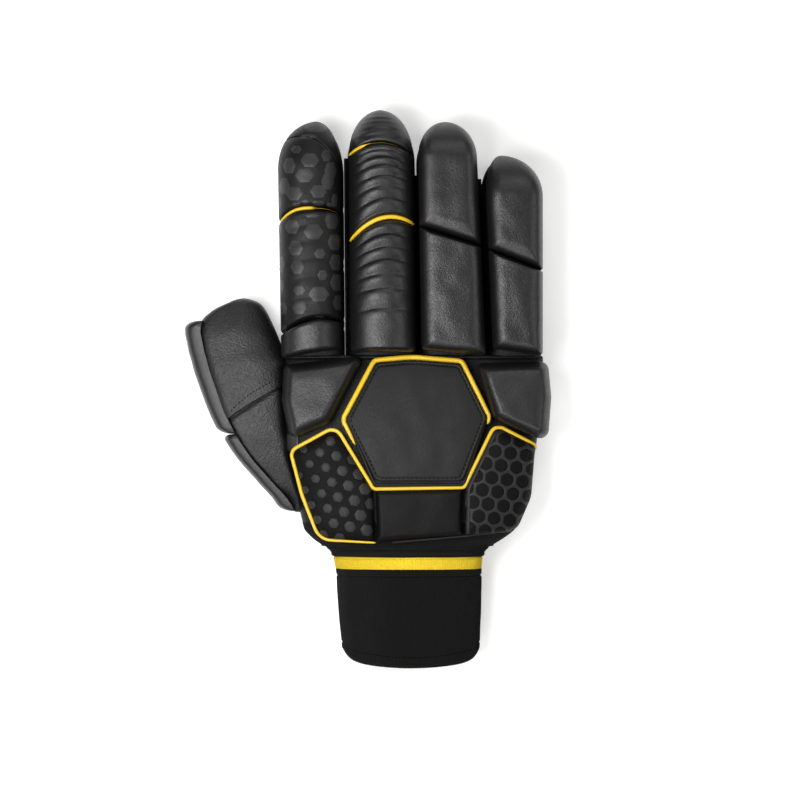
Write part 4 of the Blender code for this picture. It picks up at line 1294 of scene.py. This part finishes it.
def yoke_at(u, v):
    """The knit sewn over the foot of the hand, under the panels."""
    y = between(-87.3, -74.0, v)
    left, right, height = eased(HAND_ROWS, y)
    across, up = squared_circle(between(-0.12, 1.12, u) * math.pi, HAND_SQUARENESS)
    lifted = between(0.9, 0.1, limited((y + 80.0) / 5.0))
    lifted += unevenness(Vector((u * 90, y * 3, 0.0)), 8.0, 0.4)
    x = (left + right) / 2 + ((right - left) / 2 + lifted) * across
    z = (height - PRESSED_FLAT) / 2 + ((height + PRESSED_FLAT) / 2 + lifted) * up
    return Vector((x, y, z))


finished("wrist_yoke_knit", fine_sheet(360, 24, yoke_at), knits["black_knit"], "knit", wall=0.7)

for name, node, start, stop, rows, finish, slot in KNIT_PARTS:
    def place(u, v):
        distance = between(stop, start, v)
        rib = 0.5 - 0.5 * math.cos(2 * math.pi * KNIT_RIBS * u)
        inward = 0.24 * rib
        for line in SEWN_LINES:
            inward -= dent(distance - line, 0.60, 0.70)
        if distance < 8:
            inward += 0.35 * (1 - math.cos(distance * 2.2))
        inward += 0.6 * math.exp(-((CUFF_LENGTH - distance) / 0.9) ** 2)
        inward -= unevenness(cuff_at(distance, u), 16.0, 0.6)
        return cuff_at(distance, u, inward)

    shape = fine_sheet(KNIT_RIBS * 3, rows, place)
    piece = finished(name, shape, knits[finish], slot, [node], KNIT_WALL)

# The last of the three pieces is the cuff, which goes on from the stripe.
cuff_flat = (girth((start + stop) / 2) * RIBS_DRAWN_OUT / 1000, (stop - start) / 1000)

needle = [between(-15.5, 62.5, step / 40) for step in range(41)]
for name, knitted, distance, sink in (
    ("wrist_band_stitches", "wrist_band_knit", SEWN_LINES[0], 0.0),
    ("cuff_band_stitches", "cuff_knit", SEWN_LINES[1], -0.15),
    ("cuff_hem_stitches", "cuff_knit", SEWN_LINES[2], 0.0),
):
    width, _, middle, _ = eased(CUFF_ROWS, distance)
    bow = HEM_BOW * (distance / CUFF_LENGTH) ** 2
    path = []
    for x in needle:
        across = (x - middle) / (width / 2)
        path.append(Vector((x, CUFF_START - distance + bow * across**2)))
    stitches(name, [knitted], path, 1.75, 1.25, 0.75, sink, "knit")

# Floor, light and camera
# The glove lies on a plain pale studio floor and is seen from straight above, its fingers up.

FLOOR_LEVEL = -0.0006
FLOOR_GLOW = 0.32

floor_shape = bmesh.new()
bmesh.ops.create_grid(floor_shape, x_segments=1, y_segments=1, size=6.0)
floor_mesh = bpy.data.meshes.new("studio_floor")
floor_shape.to_mesh(floor_mesh)
floor_shape.free()
floor = bpy.data.objects.new("studio_floor", floor_mesh)
floor.location.z = FLOOR_LEVEL
bpy.context.scene.collection.objects.link(floor)
floor_white, *_ = new_material("studio_floor_white", {
    "Base Color": (0.85, 0.85, 0.84, 1), "Roughness": 0.95, "Specular IOR Level": 0.0,
    "Emission Color": (1, 1, 1, 1), "Emission Strength": FLOOR_GLOW,
})
floor_mesh.materials.append(floor_white)

# name, place, the point that it faces, size and power of each soft light
GLOVE_MIDDLE = (0.02, 0.0, 0.02)
LIGHTS = (
    ("overhead", (-0.120, 0.010, 0.42), (-0.084, 0.007, 0.02), 0.20, 1.60),
    ("left", (-1.4, -0.5, 1.7), GLOVE_MIDDLE, 1.2, 22.0),
    ("front", (-0.2, -1.6, 1.7), GLOVE_MIDDLE, 1.2, 21.0),
    ("back", (0.3, 1.8, 1.6), GLOVE_MIDDLE, 1.4, 18.0),
    ("right", (1.8, 0.1, 1.6), GLOVE_MIDDLE, 1.4, 18.0),
)
for name, place, aim, size, power in LIGHTS:
    data = bpy.data.lights.new(name, "AREA")
    data.size = size
    data.energy = power
    light = bpy.data.objects.new(name, data)
    light.location = place
    light.rotation_euler = (Vector(aim) - Vector(place)).to_track_quat("-Z", "Y").to_euler()
    light.visible_camera = False
    bpy.context.scene.collection.objects.link(light)

world = bpy.data.worlds.new("studio")
world.use_nodes = True
world.node_tree.nodes["Background"].inputs["Color"].default_value = (1, 1, 1, 1)
world.node_tree.nodes["Background"].inputs["Strength"].default_value = 0.10
bpy.context.scene.world = world
bpy.context.scene.view_settings.view_transform = "Standard"

lens = bpy.data.cameras.new("camera")
lens.lens = 200.3
lens.clip_end = 20.0
camera = bpy.data.objects.new("camera", lens)
camera.location = (0.0186, -0.0061, 2.5)
bpy.context.scene.collection.objects.link(camera)
bpy.context.scene.camera = camera
